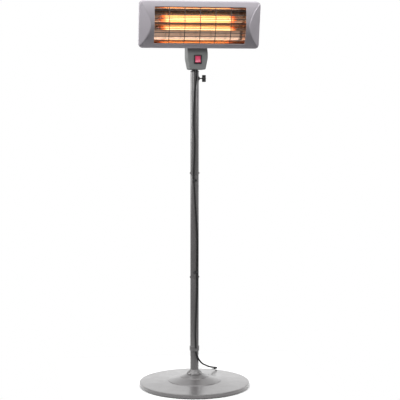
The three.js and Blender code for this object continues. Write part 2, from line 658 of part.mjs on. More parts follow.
// The bezel's solid form, from its front to a plane behind the rim, moved inwards all round by inset.
function bezelBlock(inset, back) {
  const halfHeight = HEAD_DEEP / 2 - inset;
  const halfWidth = HEAD_WIDTH / 2 - inset;
  const steps = 14;
  const points = [];
  for (let i = 0; i <= steps; i += 1) {
    const v = -halfHeight + (2 * halfHeight * i) / steps;
    points.push([-(barrel(v) - inset), v]);
  }
  points.push([back, halfHeight], [back, -halfHeight]);
  const skin = alongX(outline(points), -halfWidth, halfWidth);
  const rim = roundedRectangle(halfWidth, halfHeight, RIM_CORNER - inset);
  const edge = alongY(rim, -HEAD_BULGE - 10, back + 1, 6);
  const facets = [-1, 1].map((side) =>
    block(-60, 60, -60, 0, -150, 150)
      .rotateZ(side * FACET_SLOPE)
      .translate(side * (HEAD_WIDTH / 2 - FACET_START), inset - FACET_DEPTH, 0));
  return cut(common(skin, edge), ...facets);
}

function bezel() {
  const shell = cut(bezelBlock(0, SKIRT), bezelBlock(BEZEL_WALL, SKIRT + 5));
  const window = alongY(roundedRectangle(WINDOW_HALF_WIDTH, WINDOW_HALF_HEIGHT, 6), -60, 30, 3);
  return cut(shell, window.translate(0, 0, WINDOW_CENTRE));
}

function housing() {
  const flange = 14; // depth of the straight part that the bezel sits over
  const outside = [[262, 98.5, 17, 2.5], [262, 98.5, 17, flange], [225, 68, 22, HOUSING_DEPTH]];
  const insideDepths = [0, flange + GAP, HOUSING_DEPTH - HOUSING_SHEET];
  const inside = outside.map(([halfWidth, halfHeight, radius], i) =>
    [halfWidth - HOUSING_SHEET, halfHeight - HOUSING_SHEET, radius - HOUSING_SHEET, insideDepths[i]]);
  const vents = [];
  for (let i = -3; i <= 3; i += 1) {
    const x = i * VENT_SPACING;
    [36, 48].forEach((z) => vents.push(
      block(x - VENT_HALF_WIDTH, x + VENT_HALF_WIDTH, HOUSING_DEPTH - 8, HOUSING_DEPTH + 8, z, z + 4),
    ));
  }
  return cut(loft(outside), loft(inside), ...vents);
}

function reflector() {
  const upper = [[4, 80], [27.3, 71.1], [35.6, 57.9], [41.5, 37.3], [42.6, 26], [42.3, 15.2], [38.7, 5.3]];
  const lower = upper.map(([y, z]) => [y, -z]).reverse();
  const trough = [...upper, [33.9, 0], ...lower];
  const back = trough.map(([y, z]) => [y + REFLECTOR_SHEET, z * 1.012]).reverse();
  const sheet = alongX(outline([...trough, ...back]), -REFLECTOR_HALF_WIDTH, REFLECTOR_HALF_WIDTH);
  const rim = [[4, 80], [28.2, 71.6], [36.6, 58], [42.6, 37.4], [43.6, 26], [43.3, 15]];
  const plate = outline([...rim, ...rim.map(([y, z]) => [y, -z]).reverse()]);
  const sides = [-REFLECTOR_HALF_WIDTH, REFLECTOR_HALF_WIDTH];
  const ends = sides.map((x) => alongX(plate, x - REFLECTOR_SHEET / 2, x + REFLECTOR_SHEET / 2));
  const holes = sides.flatMap((x) => [TUBE_OFFSET, -TUBE_OFFSET].map((z) =>
    crossRod(QUARTZ_RADIUS + 1, x - 5, x + 5, TUBE_DEPTH, z, 20)));
  return cut(join(sheet, ...ends), ...holes);
}

function guard() {
  const seat = (v) => GUARD_DEPTH - barrel(v);
  const upright = (x) => {
    const points = [];
    for (let i = -6; i <= 6; i += 1) {
      const v = (GUARD_HALF_HEIGHT * i) / 6;
      points.push([x, seat(v), v]);
    }
    return sweep(points, WIRE_RADIUS, 5, 8);
  };
  const places = [-GUARD_HALF_WIDTH, GUARD_HALF_WIDTH];
  for (let i = -2; i <= 2; i += 1) places.push(i * GUARD_SPACING);
  const heights = GUARD_BARS.flatMap((v) => [GUARD_CENTRE + v, GUARD_CENTRE - v]);
  heights.push(GUARD_HALF_HEIGHT - 1, 1 - GUARD_HALF_HEIGHT);
  const bars = heights.map((v) =>
    crossRod(WIRE_RADIUS, -GUARD_HALF_WIDTH, GUARD_HALF_WIDTH, seat(v) + WIRE_RADIUS * 1.6, v, 5));
  return join(...places.map(upright), ...bars);
}

function addTube(name, row) {
  const { quartz, element, ceramic } = MATERIALS;
  const lengthways = (geometry, sign = 1) =>
    geometry.rotateY((sign * Math.PI) / 2).translate(0, TUBE_DEPTH, row * TUBE_OFFSET);
  const bore = QUARTZ_RADIUS - QUARTZ_WALL;
  const tube = pipe(QUARTZ_RADIUS, bore, -QUARTZ_HALF_LENGTH, QUARTZ_HALF_LENGTH, 14);
  add(head, "quartz_tube_" + name, lengthways(tube), quartz);
  const coil = lathe([
    [0, -212], [1, -212], [1, -172], [COIL_RADIUS, -168], [COIL_RADIUS, 168], [1, 172], [1, 212], [0, 212],
  ], 8);
  add(head, "heating_coil_" + name, lengthways(coil), element);
  const capFloor = QUARTZ_HALF_LENGTH + 2;
  const capBore = QUARTZ_RADIUS + GAP;
  const capProfile = [
    [0, capFloor], [capBore, capFloor], [capBore, 208], [10, 208], [10, 228], [6, 231], [0, 231],
  ];
  [["left", -1], ["right", 1]].forEach(([side, sign]) => {
    add(head, "end_cap_" + name + "_" + side, lengthways(lathe(capProfile, 12), sign), ceramic);
  });
}

function addHead() {
  const { silverPaint, mirrorAluminium, zinc } = MATERIALS;
  add(head, "bezel", bezel(), silverPaint);
  add(head, "head_housing", housing(), silverPaint);
  add(head, "reflector", reflector(), mirrorAluminium);
  add(head, "wire_guard", guard(), zinc);
  addTube("upper", 1);
  addTube("lower", -1);
}

// The lug joins the housing's rear wall to the pivot between the bracket's ears.
function addTiltLug() {
  const tilt = THREE.MathUtils.degToRad(HEAD_TILT);
  const dy = PIVOT_Y + HEAD_FORWARD;
  const dz = PIVOT_Z - HEAD_HEIGHT;
  const y = dy * Math.cos(tilt) + dz * Math.sin(tilt); // the pivot in the head's own frame
  const z = dz * Math.cos(tilt) - dy * Math.sin(tilt);
  const face = HOUSING_DEPTH + GAP;
  const halfWidth = 21.5;
  const radius = 10;
  const cheek = new THREE.Shape();
  cheek.moveTo(face, z + 22);
  cheek.lineTo(face, z - 7);
  cheek.lineTo(y, z - radius);
  cheek.absarc(y, z, radius, -Math.PI / 2, Math.PI / 2);
  const inner = halfWidth - BRACKET_SHEET;
  const cheeks = [alongX(cheek, -halfWidth, -inner, 8), alongX(cheek, inner, halfWidth, 8)];
  const plate = block(-halfWidth, halfWidth, face, face + BRACKET_SHEET, z - 7, z + 22);
  const bore = crossRod(PIVOT_RADIUS + GAP, -30, 30, y, z, 20);
  add(head, "tilt_lug", cut(join(...cheeks, plate), bore), MATERIALS.darkMetal);
}

function addPivotBolt() {
  const outer = BRACKET_HALF_WIDTH + GAP;
  const bolt = join(
    crossRod(PIVOT_RADIUS, -27, 27, PIVOT_Y, PIVOT_Z, 20),
    crossRod(7, -30, -outer, PIVOT_Y, PIVOT_Z, 20),
    crossRod(7.5, outer, 31, PIVOT_Y, PIVOT_Z, 6),
  );
  add(heater, "pivot_bolt", bolt, MATERIALS.zinc);
}

// ---- cord ----
function addCord() {
  const sides = 8;
  const upper = sweep(CORD_ROUTE.slice(0, FIRST_CLIP_POINT + 1), CORD_RADIUS, sides, 20);
  add(heater, "cord_upper", upper, MATERIALS.rubber);
  // The two lengths keep a gap at the first clip.
  const [[x, y, z], ...below] = CORD_ROUTE.slice(FIRST_CLIP_POINT);
  const lower = sweep([[x, y, z - GAP], ...below], CORD_RADIUS, sides, 56);
  add(heater, "cord_lower", lower, MATERIALS.rubber);
}

// The hank and the plug lie on the ground behind the base, along the tie line.
function placeOnTieLine(geometry, height) {
  return geometry.rotateZ(Math.atan2(TIE_LINE.y, TIE_LINE.x))
    .translate(TIE_LINE.x * HANK_CENTRE, TIE_LINE.y * HANK_CENTRE, height);
}

function addHank() {
  const shape = roundedRectangle(HANK_LENGTH / 2, HANK_WIDTH / 2, HANK_WIDTH / 2 - 0.01);
  add(heater, "cord_hank", placeOnTieLine(alongZ(shape, 0, HANK_WIDTH, 8), GAP), MATERIALS.rubber);
}

function addPlug() {
  const start = HANK_LENGTH / 2 + 1;
  const radius = 18;
  const height = radius + GAP; // of the plug's axis
  const cordHeight = 11.3;
  const sleeve = sweep([
    [start, 0, cordHeight], [start + 8, 0, 12.6], [start + 18, 0, 16.2], [start + 28, 0, height],
  ], 5, 12, 8);
  const lengthways = (geometry, across = 0) => geometry.rotateY(Math.PI / 2).translate(0, across, height);
  const body = lengthways(rod(radius, start + 26, start + 58, 28));
  const pins = [-9.5, 9.5].map((across) => lengthways(rod(2.4, start + 57, start + 77, 12), across));
  add(heater, "mains_plug", placeOnTieLine(join(sleeve, body, ...pins), 0), MATERIALS.rubber);
}

addBase();
addPost();
addClips();
addMast();
addClamp();
addControlBox();
addSwitch();
addBoxInside();
addGland();
addBracket();
addHead();
addTiltLug();
addPivotBolt();
addCord();
addHank();
addPlug();

export default heater;
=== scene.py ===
import json
import math

import bmesh
import bpy
from mathutils import Matrix, Vector


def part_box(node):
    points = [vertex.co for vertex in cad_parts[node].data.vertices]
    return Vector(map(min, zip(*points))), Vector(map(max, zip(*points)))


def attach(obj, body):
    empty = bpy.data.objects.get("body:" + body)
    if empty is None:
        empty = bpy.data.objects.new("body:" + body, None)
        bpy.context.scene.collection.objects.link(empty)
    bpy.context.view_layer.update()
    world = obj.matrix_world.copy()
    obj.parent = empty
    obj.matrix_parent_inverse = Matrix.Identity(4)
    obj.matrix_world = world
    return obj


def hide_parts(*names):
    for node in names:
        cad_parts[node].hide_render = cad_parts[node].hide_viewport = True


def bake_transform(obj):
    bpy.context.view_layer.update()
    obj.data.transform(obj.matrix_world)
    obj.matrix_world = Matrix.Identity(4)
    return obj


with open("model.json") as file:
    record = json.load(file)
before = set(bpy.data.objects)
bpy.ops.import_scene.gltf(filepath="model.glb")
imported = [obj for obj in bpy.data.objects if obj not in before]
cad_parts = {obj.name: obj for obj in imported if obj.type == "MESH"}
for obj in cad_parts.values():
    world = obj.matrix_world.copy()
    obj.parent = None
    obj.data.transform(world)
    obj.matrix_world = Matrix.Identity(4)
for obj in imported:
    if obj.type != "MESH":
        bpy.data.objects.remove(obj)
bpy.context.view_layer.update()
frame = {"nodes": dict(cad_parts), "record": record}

# The looks of a free-standing quartz patio heater, made round its CAD frame.
# The frame, the camera and the cord are in metres. Profiles and outlines are in millimetres.
MM = 0.001  # a millimetre in metres
GAP = 0.3  # between pieces that touch, in millimetres
BODIES = frame["record"]["behaviour"]["bodies"]
BODY_OF = {node: body for body, nodes in BODIES.items() for node in nodes}


def reach(node):
    """The lowest and highest corner of a CAD node, in millimetres."""
    low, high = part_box(node)
    return low / MM, high / MM


def middle_of(node):
    """The middle of a CAD node's box, in millimetres."""
    low, high = reach(node)
    return (low + high) / 2


# ---- camera ----
CAMERA_DISTANCE = 5.25  # from the post, along the ground
CAMERA_HEIGHT = 1.3331
CAMERA_AZIMUTH = math.radians(-8.7649)  # it stands a little to the left of the front
CAMERA_PAN = math.radians(-0.2659)
CAMERA_PITCH = math.radians(5.2472)
CAMERA_ROLL = math.radians(0.0837)
CAMERA_LENS = 105.247
SENSOR_WIDTH = 36


def make_camera():
    heading = CAMERA_AZIMUTH + CAMERA_PAN
    forward = Vector((
        -math.sin(heading) * math.cos(CAMERA_PITCH),
        math.cos(heading) * math.cos(CAMERA_PITCH),
        -math.sin(CAMERA_PITCH),
    ))
    level = Vector((math.cos(heading), math.sin(heading), 0))
    upright = level.cross(forward)
    right = level * math.cos(CAMERA_ROLL) + upright * math.sin(CAMERA_ROLL)
    up = upright * math.cos(CAMERA_ROLL) - level * math.sin(CAMERA_ROLL)
    data = bpy.data.cameras.new("camera")
    data.lens = CAMERA_LENS
    data.sensor_width = SENSOR_WIDTH
    data.clip_end = 50
    camera = bpy.data.objects.new("camera", data)
    camera.matrix_world = Matrix.Translation((
        CAMERA_DISTANCE * math.sin(CAMERA_AZIMUTH),
        -CAMERA_DISTANCE * math.cos(CAMERA_AZIMUTH),
        CAMERA_HEIGHT,
    )) @ Matrix((right, up, -forward)).transposed().to_4x4()
    bpy.context.scene.collection.objects.link(camera)
    bpy.context.scene.camera = camera


make_camera()


# ---- mesh helpers ----
def new_piece(name, vertices, faces, scale=MM):
    mesh = bpy.data.meshes.new(name)
    mesh.from_pydata([Vector(v) * scale for v in vertices], [], faces)
    outward = bmesh.new()
    outward.from_mesh(mesh)
    bmesh.ops.remove_doubles(outward, verts=outward.verts, dist=1e-7)
    bmesh.ops.recalc_face_normals(outward, faces=outward.faces)
    outward.to_mesh(mesh)
    outward.free()
    piece = bpy.data.objects.new(name, mesh)
    bpy.context.scene.collection.objects.link(piece)
    return piece


def applied(piece):
    """Makes a piece's modifiers part of its mesh."""
    graph = bpy.context.evaluated_depsgraph_get()
    mesh = bpy.data.meshes.new_from_object(piece.evaluated_get(graph))
    piece.modifiers.clear()
    piece.data = mesh
    return piece


def walled(shell, thickness, outermost):
    """Gives an open shell its wall, inwards from the skin. The shell is closed on its outermost side."""
    facing = bmesh.new()
    facing.from_mesh(shell.data)
    face = max(facing.faces, key=lambda f: f.calc_center_median().dot(outermost))
    if face.normal.dot(outermost) < 0:
        bmesh.ops.reverse_faces(facing, faces=facing.faces)
    facing.to_mesh(shell.data)
    facing.free()
    wall = shell.modifiers.new("wall", "SOLIDIFY")
    wall.thickness = thickness * MM
    wall.offset = -1
    return applied(shell)


def cut(piece, *tools):
    """Takes closed tool meshes out of a piece."""
    for tool in tools:
        modifier = piece.modifiers.new("cut", "BOOLEAN")
        modifier.operation = "DIFFERENCE"
        modifier.solver = "EXACT"
        modifier.object = tool
        applied(piece)
        bpy.data.objects.remove(tool)
    return piece


def joined(name, *parts):
    """One piece from several, whose meshes stay as they are."""
    whole = bmesh.new()
    for part in parts:
        bpy.context.view_layer.update()
        copy = part.data.copy()
        copy.transform(part.matrix_world)
        whole.from_mesh(copy)
        bpy.data.objects.remove(part)
    mesh = bpy.data.meshes.new(name)
    whole.to_mesh(mesh)
    whole.free()
    piece = bpy.data.objects.new(name, mesh)
    bpy.context.scene.collection.objects.link(piece)
    return piece


def moved(piece, matrix):
    piece.data.transform(matrix)
    return piece


def shift(x, y, z):
    """A move in millimetres."""
    return Matrix.Translation(Vector((x, y, z)) * MM)


def turn(degrees, axis):
    return Matrix.Rotation(math.radians(degrees), 4, axis)


def soften(points, radius, closed=True, steps=4):
    """Rounds an outline's corners. A point's own third number, where it has one, is its radius."""
    count = len(points)
    result = []
    for i, point in enumerate(points):
        here = Vector(point[:2])
        own = point[2] if len(point) > 2 else radius
        if own == 0 or (not closed and i in (0, count - 1)):
            result.append(here)
            continue
        before = Vector(points[i - 1][:2]) - here
        after = Vector(points[(i + 1) % count][:2]) - here
        start = here + before.normalized() * min(own, before.length * 0.49)
        end = here + after.normalized() * min(own, after.length * 0.49)
        for k in range(steps + 1):
            t = k / steps
            result.append(start * (1 - t) ** 2 + here * (2 * t * (1 - t)) + end * t**2)
    return result


def bridged(rows, around=True):
    """Faces between rows of vertex numbers of equal length."""
    faces = []
    for near, far in zip(rows, rows[1:]):
        count = len(near)
        for k in range(count if around else count - 1):
            after = (k + 1) % count
            face = []
            for vertex in (near[k], near[after], far[after], far[k]):
                if vertex not in face:
                    face.append(vertex)
            if len(face) > 2:
                faces.append(face)
    return faces


def turned(name, profile, soft=0.4, segments=72, steps=3):
    """Revolves (radius, height) points about Z. A profile that stays off the axis closes on itself."""
    hollow = profile[0][0] > 0
    points = soften(profile, soft, closed=hollow, steps=steps)
    vertices, rows = [], []
    for radius, height in points:
        if radius < 1e-6:
            rows.append([len(vertices)] * segments)
            vertices.append((0, 0, height))
            continue
        rows.append(list(range(len(vertices), len(vertices) + segments)))
        for k in range(segments):
            angle = 2 * math.pi * k / segments
            vertices.append((radius * math.cos(angle), radius * math.sin(angle), height))
    if hollow:
        rows.append(rows[0])
    return new_piece(name, vertices, bridged(rows))


def rod(radius, low, high, segments=40):
    """A plain cylinder about Z, which drills a hole."""
    return turned("rod", [(0, low), (radius, low), (radius, high), (0, high)], segments=segments)


def lofted(name, rings, around=True, caps=(0, -1), scale=MM):
    """A skin through rings of points. caps names the rings that a flat face closes."""
    size = len(rings[0])
    rows = [list(range(i * size, (i + 1) * size)) for i in range(len(rings))]
    faces = bridged(rows, around)
    faces += [rows[i] if i else rows[i][::-1] for i in caps]
    return new_piece(name, [p for ring in rings for p in ring], faces, scale)


def inset(points, distance):
    """An outline moved inwards by a distance, for an outline that runs anticlockwise."""
    result = []
    count = len(points)
    for i, point in enumerate(points):
        before = (point - points[i - 1]).normalized()
        after = (points[(i + 1) % count] - point).normalized()
        inward = Vector((-before.y - after.y, before.x + after.x)).normalized()
        result.append(point + inward * distance)
    return result


def anticlockwise(points):
    area = sum(a.x * b.y - a.y * b.x for a, b in zip(points, points[1:] + points[:1]))
    return points if area > 0 else points[::-1]


ALONG_X = lambda a, b, depth: (depth, a, b)
ALONG_Y = lambda a, b, depth: (a, depth, b)
ALONG_Z = lambda a, b, depth: (a, b, depth)


def prism(name, outline, low, high, place=ALONG_Z, edge=0.5, soft=0.5, steps=3):
    """An outline extruded from low to high, with rounded corners and rounded rims."""
    points = anticlockwise(soften(outline, soft, steps=steps))
    edge = min(edge, (high - low) * 0.45)
    rings = []
    rim = [math.pi / 2 * k / 3 for k in range(4)] if edge else [0]
    for angle in rim:
        ring = inset(points, edge * (1 - math.sin(angle)))
        rings.append((ring, low + edge * (1 - math.cos(angle)) if edge else low))
    for angle in rim[::-1]:
        ring = inset(points, edge * (1 - math.sin(angle)))
        rings.append((ring, high - edge * (1 - math.cos(angle)) if edge else high))
    return lofted(name, [[place(p.x, p.y, depth) for p in ring] for ring, depth in rings])


def rounded_rectangle(half_width, half_height, radius, steps=8):
    points = []
    for quarter, (sx, sy) in enumerate(((1, 1), (-1, 1), (-1, -1), (1, -1))):
        for k in range(steps + 1):
            angle = math.pi / 2 * (quarter + k / steps)
            points.append(Vector((
                sx * (half_width - radius) + radius * math.cos(angle),
                sy * (half_height - radius) + radius * math.sin(angle),
            )))
    return points


def polygon(radius, sides):
    angles = [2 * math.pi * k / sides for k in range(sides)]
    return [(radius * math.cos(a), radius * math.sin(a)) for a in angles]


def smooth_path(points, per_span=8):
    """A centripetal Catmull-Rom curve through points, as a dense list."""
    points = [Vector(p) for p in points]
    ends = [points[0] * 2 - points[1]] + points + [points[-1] * 2 - points[-2]]
    result = []
    for p0, p1, p2, p3 in zip(ends, ends[1:], ends[2:], ends[3:]):
        knots = [0.0]
        for a, b in ((p0, p1), (p1, p2), (p2, p3)):
            knots.append(knots[-1] + max((b - a).length, 1e-9) ** 0.5)
        for k in range(per_span):
            t = knots[1] + (knots[2] - knots[1]) * k / per_span
            level = [p0, p1, p2, p3]
            for span in (1, 2, 3):
                level = blend_level(level, knots, span, t)
            result.append(level[0])
    result.append(points[-1])
    return result


def blend_level(level, knots, span, t):
    """One step of the Barry-Goldman scheme for a Catmull-Rom curve."""
    pairs = {1: ((0, 1), (1, 2), (2, 3)), 2: ((0, 2), (1, 3)), 3: ((1, 2),)}[span]
    blended = []
    for i, (a, b) in enumerate(pairs):
        whole = knots[b] - knots[a]
        blended.append(level[i] * ((knots[b] - t) / whole) + level[i + 1] * ((t - knots[a]) / whole))
    return blended


def swept(name, path, radius, sides=10, scale=MM):
    """A round tube along a path, with eased ends and no twist. radius is a number or one for each point."""
    path = [Vector(p) for p in path]
    radii = radius if isinstance(radius, list) else [radius] * len(path)
    tangents = []
    for i in range(len(path)):
        tangents.append((path[min(i + 1, len(path) - 1)] - path[max(i - 1, 0)]).normalized())
    side = tangents[0].orthogonal().normalized()
    rings = []
    for point, tangent, r in zip(path, tangents, radii):
        side = (side - tangent * side.dot(tangent)).normalized()
        other = tangent.cross(side)
        rings.append((point, side.copy(), other, r))
    ease, narrow = 0.35, 0.75  # of the radius: an end ring's reach past the path and its size
    ends = []
    for ring, outward in ((rings[0], -tangents[0]), (rings[-1], tangents[-1])):
        point, a, b, r = ring
        ends.append((point + outward * r * ease, a, b, r * narrow))
    rings = [ends[0], *rings, ends[1]]
    points = []
    for point, a, b, r in rings:
        angles = [2 * math.pi * k / sides for k in range(sides)]
        points.append([point + (a * math.cos(t) + b * math.sin(t)) * r for t in angles])
    return lofted(name, points, scale=scale)


# ---- cord ----
CORD_DIAMETER = 0.0072
# The cord's route from its gland to the hank, in metres.
CORD_ROUTE = [
    (0.001, -0.045, 1.4065), (0.001, -0.0445, 1.398), (0.001, -0.038, 1.384), (0, -0.028, 1.366),
    (-0.003, -0.024, 1.34), (-0.005, -0.023, 1.3), (-0.007, -0.023, 1.256), (-0.008, -0.0225, 1.205),
    (-0.007, -0.023, 1.172), (-0.004, -0.0233, 1.14), (-0.003, -0.0233, 1.092), (-0.005, -0.023, 1.04),
    (-0.0075, -0.0225, 0.99), (-0.008, -0.0224, 0.942), (-0.006, -0.023, 0.915), (-0.003, -0.0233, 0.876),
    (-0.001, -0.0233, 0.838), (0.003, -0.0232, 0.788), (0.007, -0.0225, 0.735), (0.0105, -0.0215, 0.673),
    (0.0105, -0.0215, 0.6), (0.0095, -0.0218, 0.524), (0.01, -0.0215, 0.46), (0.0075, -0.0223, 0.398),
    (0.003, -0.0232, 0.31), (0.0005, -0.0233, 0.24), (0.0026, -0.0231, 0.2), (0.0033, -0.0231, 0.17),
    (0.0042, -0.0233, 0.157), (0.008, -0.024, 0.143), (0.0145, -0.0215, 0.1285), (0.023, -0.0105, 0.1155),
    (0.0315, 0.006, 0.1045), (0.045, 0.0385, 0.0895), (0.0642, 0.0792, 0.0735), (0.0854, 0.1204, 0.057),
    (0.1066, 0.1626, 0.043), (0.124, 0.193, 0.0335), (0.135, 0.207, 0.029), (0.141, 0.224, 0.0235),
    (0.1377, 0.242, 0.0155), (0.1257, 0.2568, 0.0085), (0.1088, 0.264, 0.0046), (0.0917, 0.2667, 0.0039),
    (0.0759, 0.2691, 0.0039), (0.0598, 0.2761, 0.0039), (0.0494, 0.2904, 0.0039), (0.0474, 0.3079, 0.0039),
    (0.0489, 0.3174, 0.0039),
]
CLIPS = ((13, 1), (21, -1))  # the route's point in each strap, and the side of its screw
BAND_POINT = 27  # the route's point in the band round the post
TIE_LINE = Vector((0.15238, 0.98832, 0))  # the direction in which the spare cord lies behind the base
HANK_CENTRE = TIE_LINE * 0.4 + Vector((0, 0, 0.0192))  # the middle of its tied waist
LOOP_RADIUS = 0.0218  # of the loop at each end of the hank
STRAND_OFFSET = CORD_DIAMETER / math.sqrt(2)  # of a strand in the waist from the hank's middle line
WAIST = 0.016  # half of the straight stretch
S_LENGTH = 0.036  # along the hank, from the waist to the widest part of a loop


def hank_point(along, direction, offset):
    """A place in the hank: along its line, and off that line in a direction round it, in degrees."""
    across = TIE_LINE.cross(Vector((0, 0, 1)))
    angle = math.radians(direction)
    up = Vector((0, 0, offset * math.sin(angle)))
    return HANK_CENTRE + TIE_LINE * along + across * (offset * math.cos(angle)) + up


def flare():
    """(along, offset) from the end of the waist to the widest part of a loop, as two arcs."""
    rise = LOOP_RADIUS - STRAND_OFFSET
    bend = (rise**2 + S_LENGTH**2) / (4 * rise)
    points = []
    for k in range(1, 7):
        x = S_LENGTH * k / 6
        if x <= S_LENGTH / 2:
            y = bend - math.sqrt(bend**2 - x**2)
        else:
            y = rise - bend + math.sqrt(bend**2 - (S_LENGTH - x) ** 2)
        points.append((WAIST + x, STRAND_OFFSET + y))
    return points


def end_loop(sign, leaving, coming_back):
    """The loop at the hank's far (+1) or near (-1) end, between two opposite directions round its line."""
    out = [hank_point(sign * along, leaving, offset) for along, offset in flare()]
    back = [hank_point(sign * along, coming_back, offset) for along, offset in flare()][::-1]
    middle = WAIST + S_LENGTH
    arc = []
    for k in range(1, 9):
        angle = math.pi * k / 9
        along = sign * (middle + LOOP_RADIUS * math.sin(angle))
        arc.append(hank_point(along, leaving, LOOP_RADIUS * math.cos(angle)))
    return out + arc + back


def hank_path():
    """Three runs: in low, round the far loop, back over the top, round the near loop, and out low."""
    low_in = [(-0.066, 250, 0.0156), (-0.052, 244, 0.0146), (-0.036, 236, 0.0115), (-0.024, 229, 0.0075)]
    low_out = [(0.024, 311, 0.0068), (0.04, 305, 0.0085), (0.056, 296, 0.0093), (0.068, 286, 0.0088)]
    path = [hank_point(*place) for place in low_in]
    path += [hank_point(along, 225, STRAND_OFFSET) for along in (-0.011, 0, 0.012)]
    path += end_loop(1, 225, 45)
    path += [hank_point(0.012, 45, STRAND_OFFSET), hank_point(0, 90, STRAND_OFFSET * 0.78)]
    path += [hank_point(-0.012, 135, STRAND_OFFSET)]
    path += end_loop(-1, 135, 315)
    path += [hank_point(along, 315, STRAND_OFFSET) for along in (-0.012, 0, 0.011)]
    path += [hank_point(*place) for place in low_out]
    return path


SLEEVE_START = 0.079  # of the plug's sleeve, from the hank's middle
PLUG_START = HANK_CENTRE + TIE_LINE * (SLEEVE_START + 0.0005)  # just inside the sleeve's mouth
PLUG_START.z = 0.0113


def cord_path():
    lead_in = TIE_LINE * 0.009
    end = Vector(CORD_ROUTE[-1])
    entry = [end + lead_in * 0.5 + Vector((0, 0, 0.0001))]
    return smooth_path([*CORD_ROUTE, *entry, *hank_path(), PLUG_START, PLUG_START + TIE_LINE * 0.006], 5)


def make_cord():
    path = cord_path()
    return swept("mains_cord", path, CORD_DIAMETER / 2, 16, scale=1), path


# ---- materials ----
class Finish:
    """A node material that is built up from a Principled shader."""

    def __init__(self, name, colour, roughness, metallic=0.0):
        self.material = bpy.data.materials.new(name)
        self.material.use_nodes = True
        self.tree = self.material.node_tree
        self.shader = self.tree.nodes["Principled BSDF"]
        self.shader.inputs["Base Color"].default_value = (*colour, 1)
        self.shader.inputs["Roughness"].default_value = roughness
        self.shader.inputs["Metallic"].default_value = metallic
        self.colour = colour
        self.place = self.tree.nodes.new("ShaderNodeTexCoord").outputs["Object"]
        self.heights = []

    def node(self, kind, **values):
        made = self.tree.nodes.new(kind)
        for key, value in values.items():
            if key in made.inputs:
                made.inputs[key].default_value = value
            else:
                setattr(made, key, value)
        return made

    def link(self, output, target):
        self.tree.links.new(output, target)

    def stretched(self, x, y, z):
        """Object coordinates with each axis scaled, for brushed or streaked textures."""
        mapping = self.node("ShaderNodeMapping", Scale=(x, y, z))
        self.link(self.place, mapping.inputs["Vector"])
        return mapping.outputs["Vector"]

    def noise(self, scale, detail=3.0, roughness=0.5, where=None):
        made = self.node("ShaderNodeTexNoise", Scale=scale, Detail=detail, Roughness=roughness)
        self.link(where or self.place, made.inputs["Vector"])
        return made.outputs["Fac"]

    def cells(self, scale):
        made = self.node("ShaderNodeTexVoronoi", Scale=scale)
        self.link(self.place, made.inputs["Vector"])
        return made.outputs["Distance"]

    def spread(self, value, low, high, start=0.3, stop=0.7):
        """A 0 to 1 pattern stretched between two numbers."""
        made = self.node("ShaderNodeMapRange")
        for name, number in (("From Min", start), ("From Max", stop), ("To Min", low), ("To Max", high)):
            made.inputs[name].default_value = number
        self.link(value, made.inputs["Value"])
        return made.outputs["Result"]

    def tint(self, pattern, other, low=0.3, high=0.7, over=None):
        """Mixes another colour over the base colour, or over an earlier mix, where a pattern is high."""
        mix = self.node("ShaderNodeMix", data_type="RGBA")
        below, above = [socket for socket in mix.inputs if socket.type == "RGBA"]
        below.default_value = (*self.colour, 1)
        if over is not None:
            self.link(over, below)
        above.default_value = (*other, 1)
        self.link(self.spread(pattern, 0, 1, low, high), mix.inputs[0])
        output = [socket for socket in mix.outputs if socket.type == "RGBA"][0]
        self.link(output, self.shader.inputs["Base Color"])
        return output

    def rough(self, pattern, low, high):
        self.link(self.spread(pattern, low, high), self.shader.inputs["Roughness"])

    def bump(self, pattern, strength, distance):
        bump = self.node("ShaderNodeBump", Strength=strength, Distance=distance)
        self.link(pattern, bump.inputs["Height"])
        if self.heights:
            self.link(self.heights[-1], bump.inputs["Normal"])
        self.heights.append(bump.outputs["Normal"])
        self.link(bump.outputs["Normal"], self.shader.inputs["Normal"])

    def set(self, **sockets):
        for name, value in sockets.items():
            self.shader.inputs[name.replace("_", " ")].default_value = value


def powder_coat():
    finish = Finish("grey_paint", (0.09, 0.085, 0.086), 0.34, 0.2)
    base = finish.tint(finish.noise(7, 4), (0.102, 0.0965, 0.097))
    finish.tint(finish.noise(160, 6, 0.7), (0.078, 0.0735, 0.074), 0.62, 0.8, over=base)
    finish.rough(finish.noise(24, 5), 0.31, 0.42)
    finish.bump(finish.noise(620, 2), 0.10, 0.0004)
    finish.bump(finish.noise(2600, 2), 0.06, 0.0001)
    finish.set(Coat_Weight=1.0, Coat_Roughness=0.24, Coat_IOR=1.55)
    return finish.material


def metallic_paint():
    finish = Finish("silver_paint", (0.47, 0.44, 0.475), 0.36, 0.6)
    flakes = finish.cells(5200)
    base = finish.tint(finish.noise(9, 3), (0.50, 0.47, 0.505))
    finish.tint(flakes, (0.39, 0.365, 0.40), 0.35, 0.7, over=base)
    finish.rough(finish.noise(30, 4), 0.31, 0.42)
    finish.bump(finish.noise(480, 2), 0.07, 0.0003)
    finish.bump(flakes, 0.04, 0.00004)
    finish.set(Coat_Weight=0.35, Coat_Roughness=0.12)
    return finish.material


def dark_metal():
    finish = Finish("dark_metal", (0.075, 0.074, 0.076), 0.42, 0.75)
    finish.tint(finish.noise(60, 6, 0.65), (0.11, 0.108, 0.105), 0.5, 0.75)
    finish.rough(finish.noise(40, 5), 0.34, 0.52)
    finish.bump(finish.noise(900, 3), 0.10, 0.0002)
    return finish.material


def zinc_steel():
    # Painted shade and reflection: the zinc steel is a dark warm brown, far darker than bare zinc. This
    # stands in for the dark surroundings and warm glow that the guard's wires reflect, and for the shade
    # that they lie in.
    finish = Finish("zinc_steel", (0.13, 0.115, 0.11), 0.3, 1.0)
    finish.tint(finish.noise(90, 5, 0.6), (0.10, 0.09, 0.086))
    finish.rough(finish.noise(70, 4), 0.24, 0.38)
    finish.bump(finish.noise(1500, 3), 0.05, 0.0001)
    return finish.material


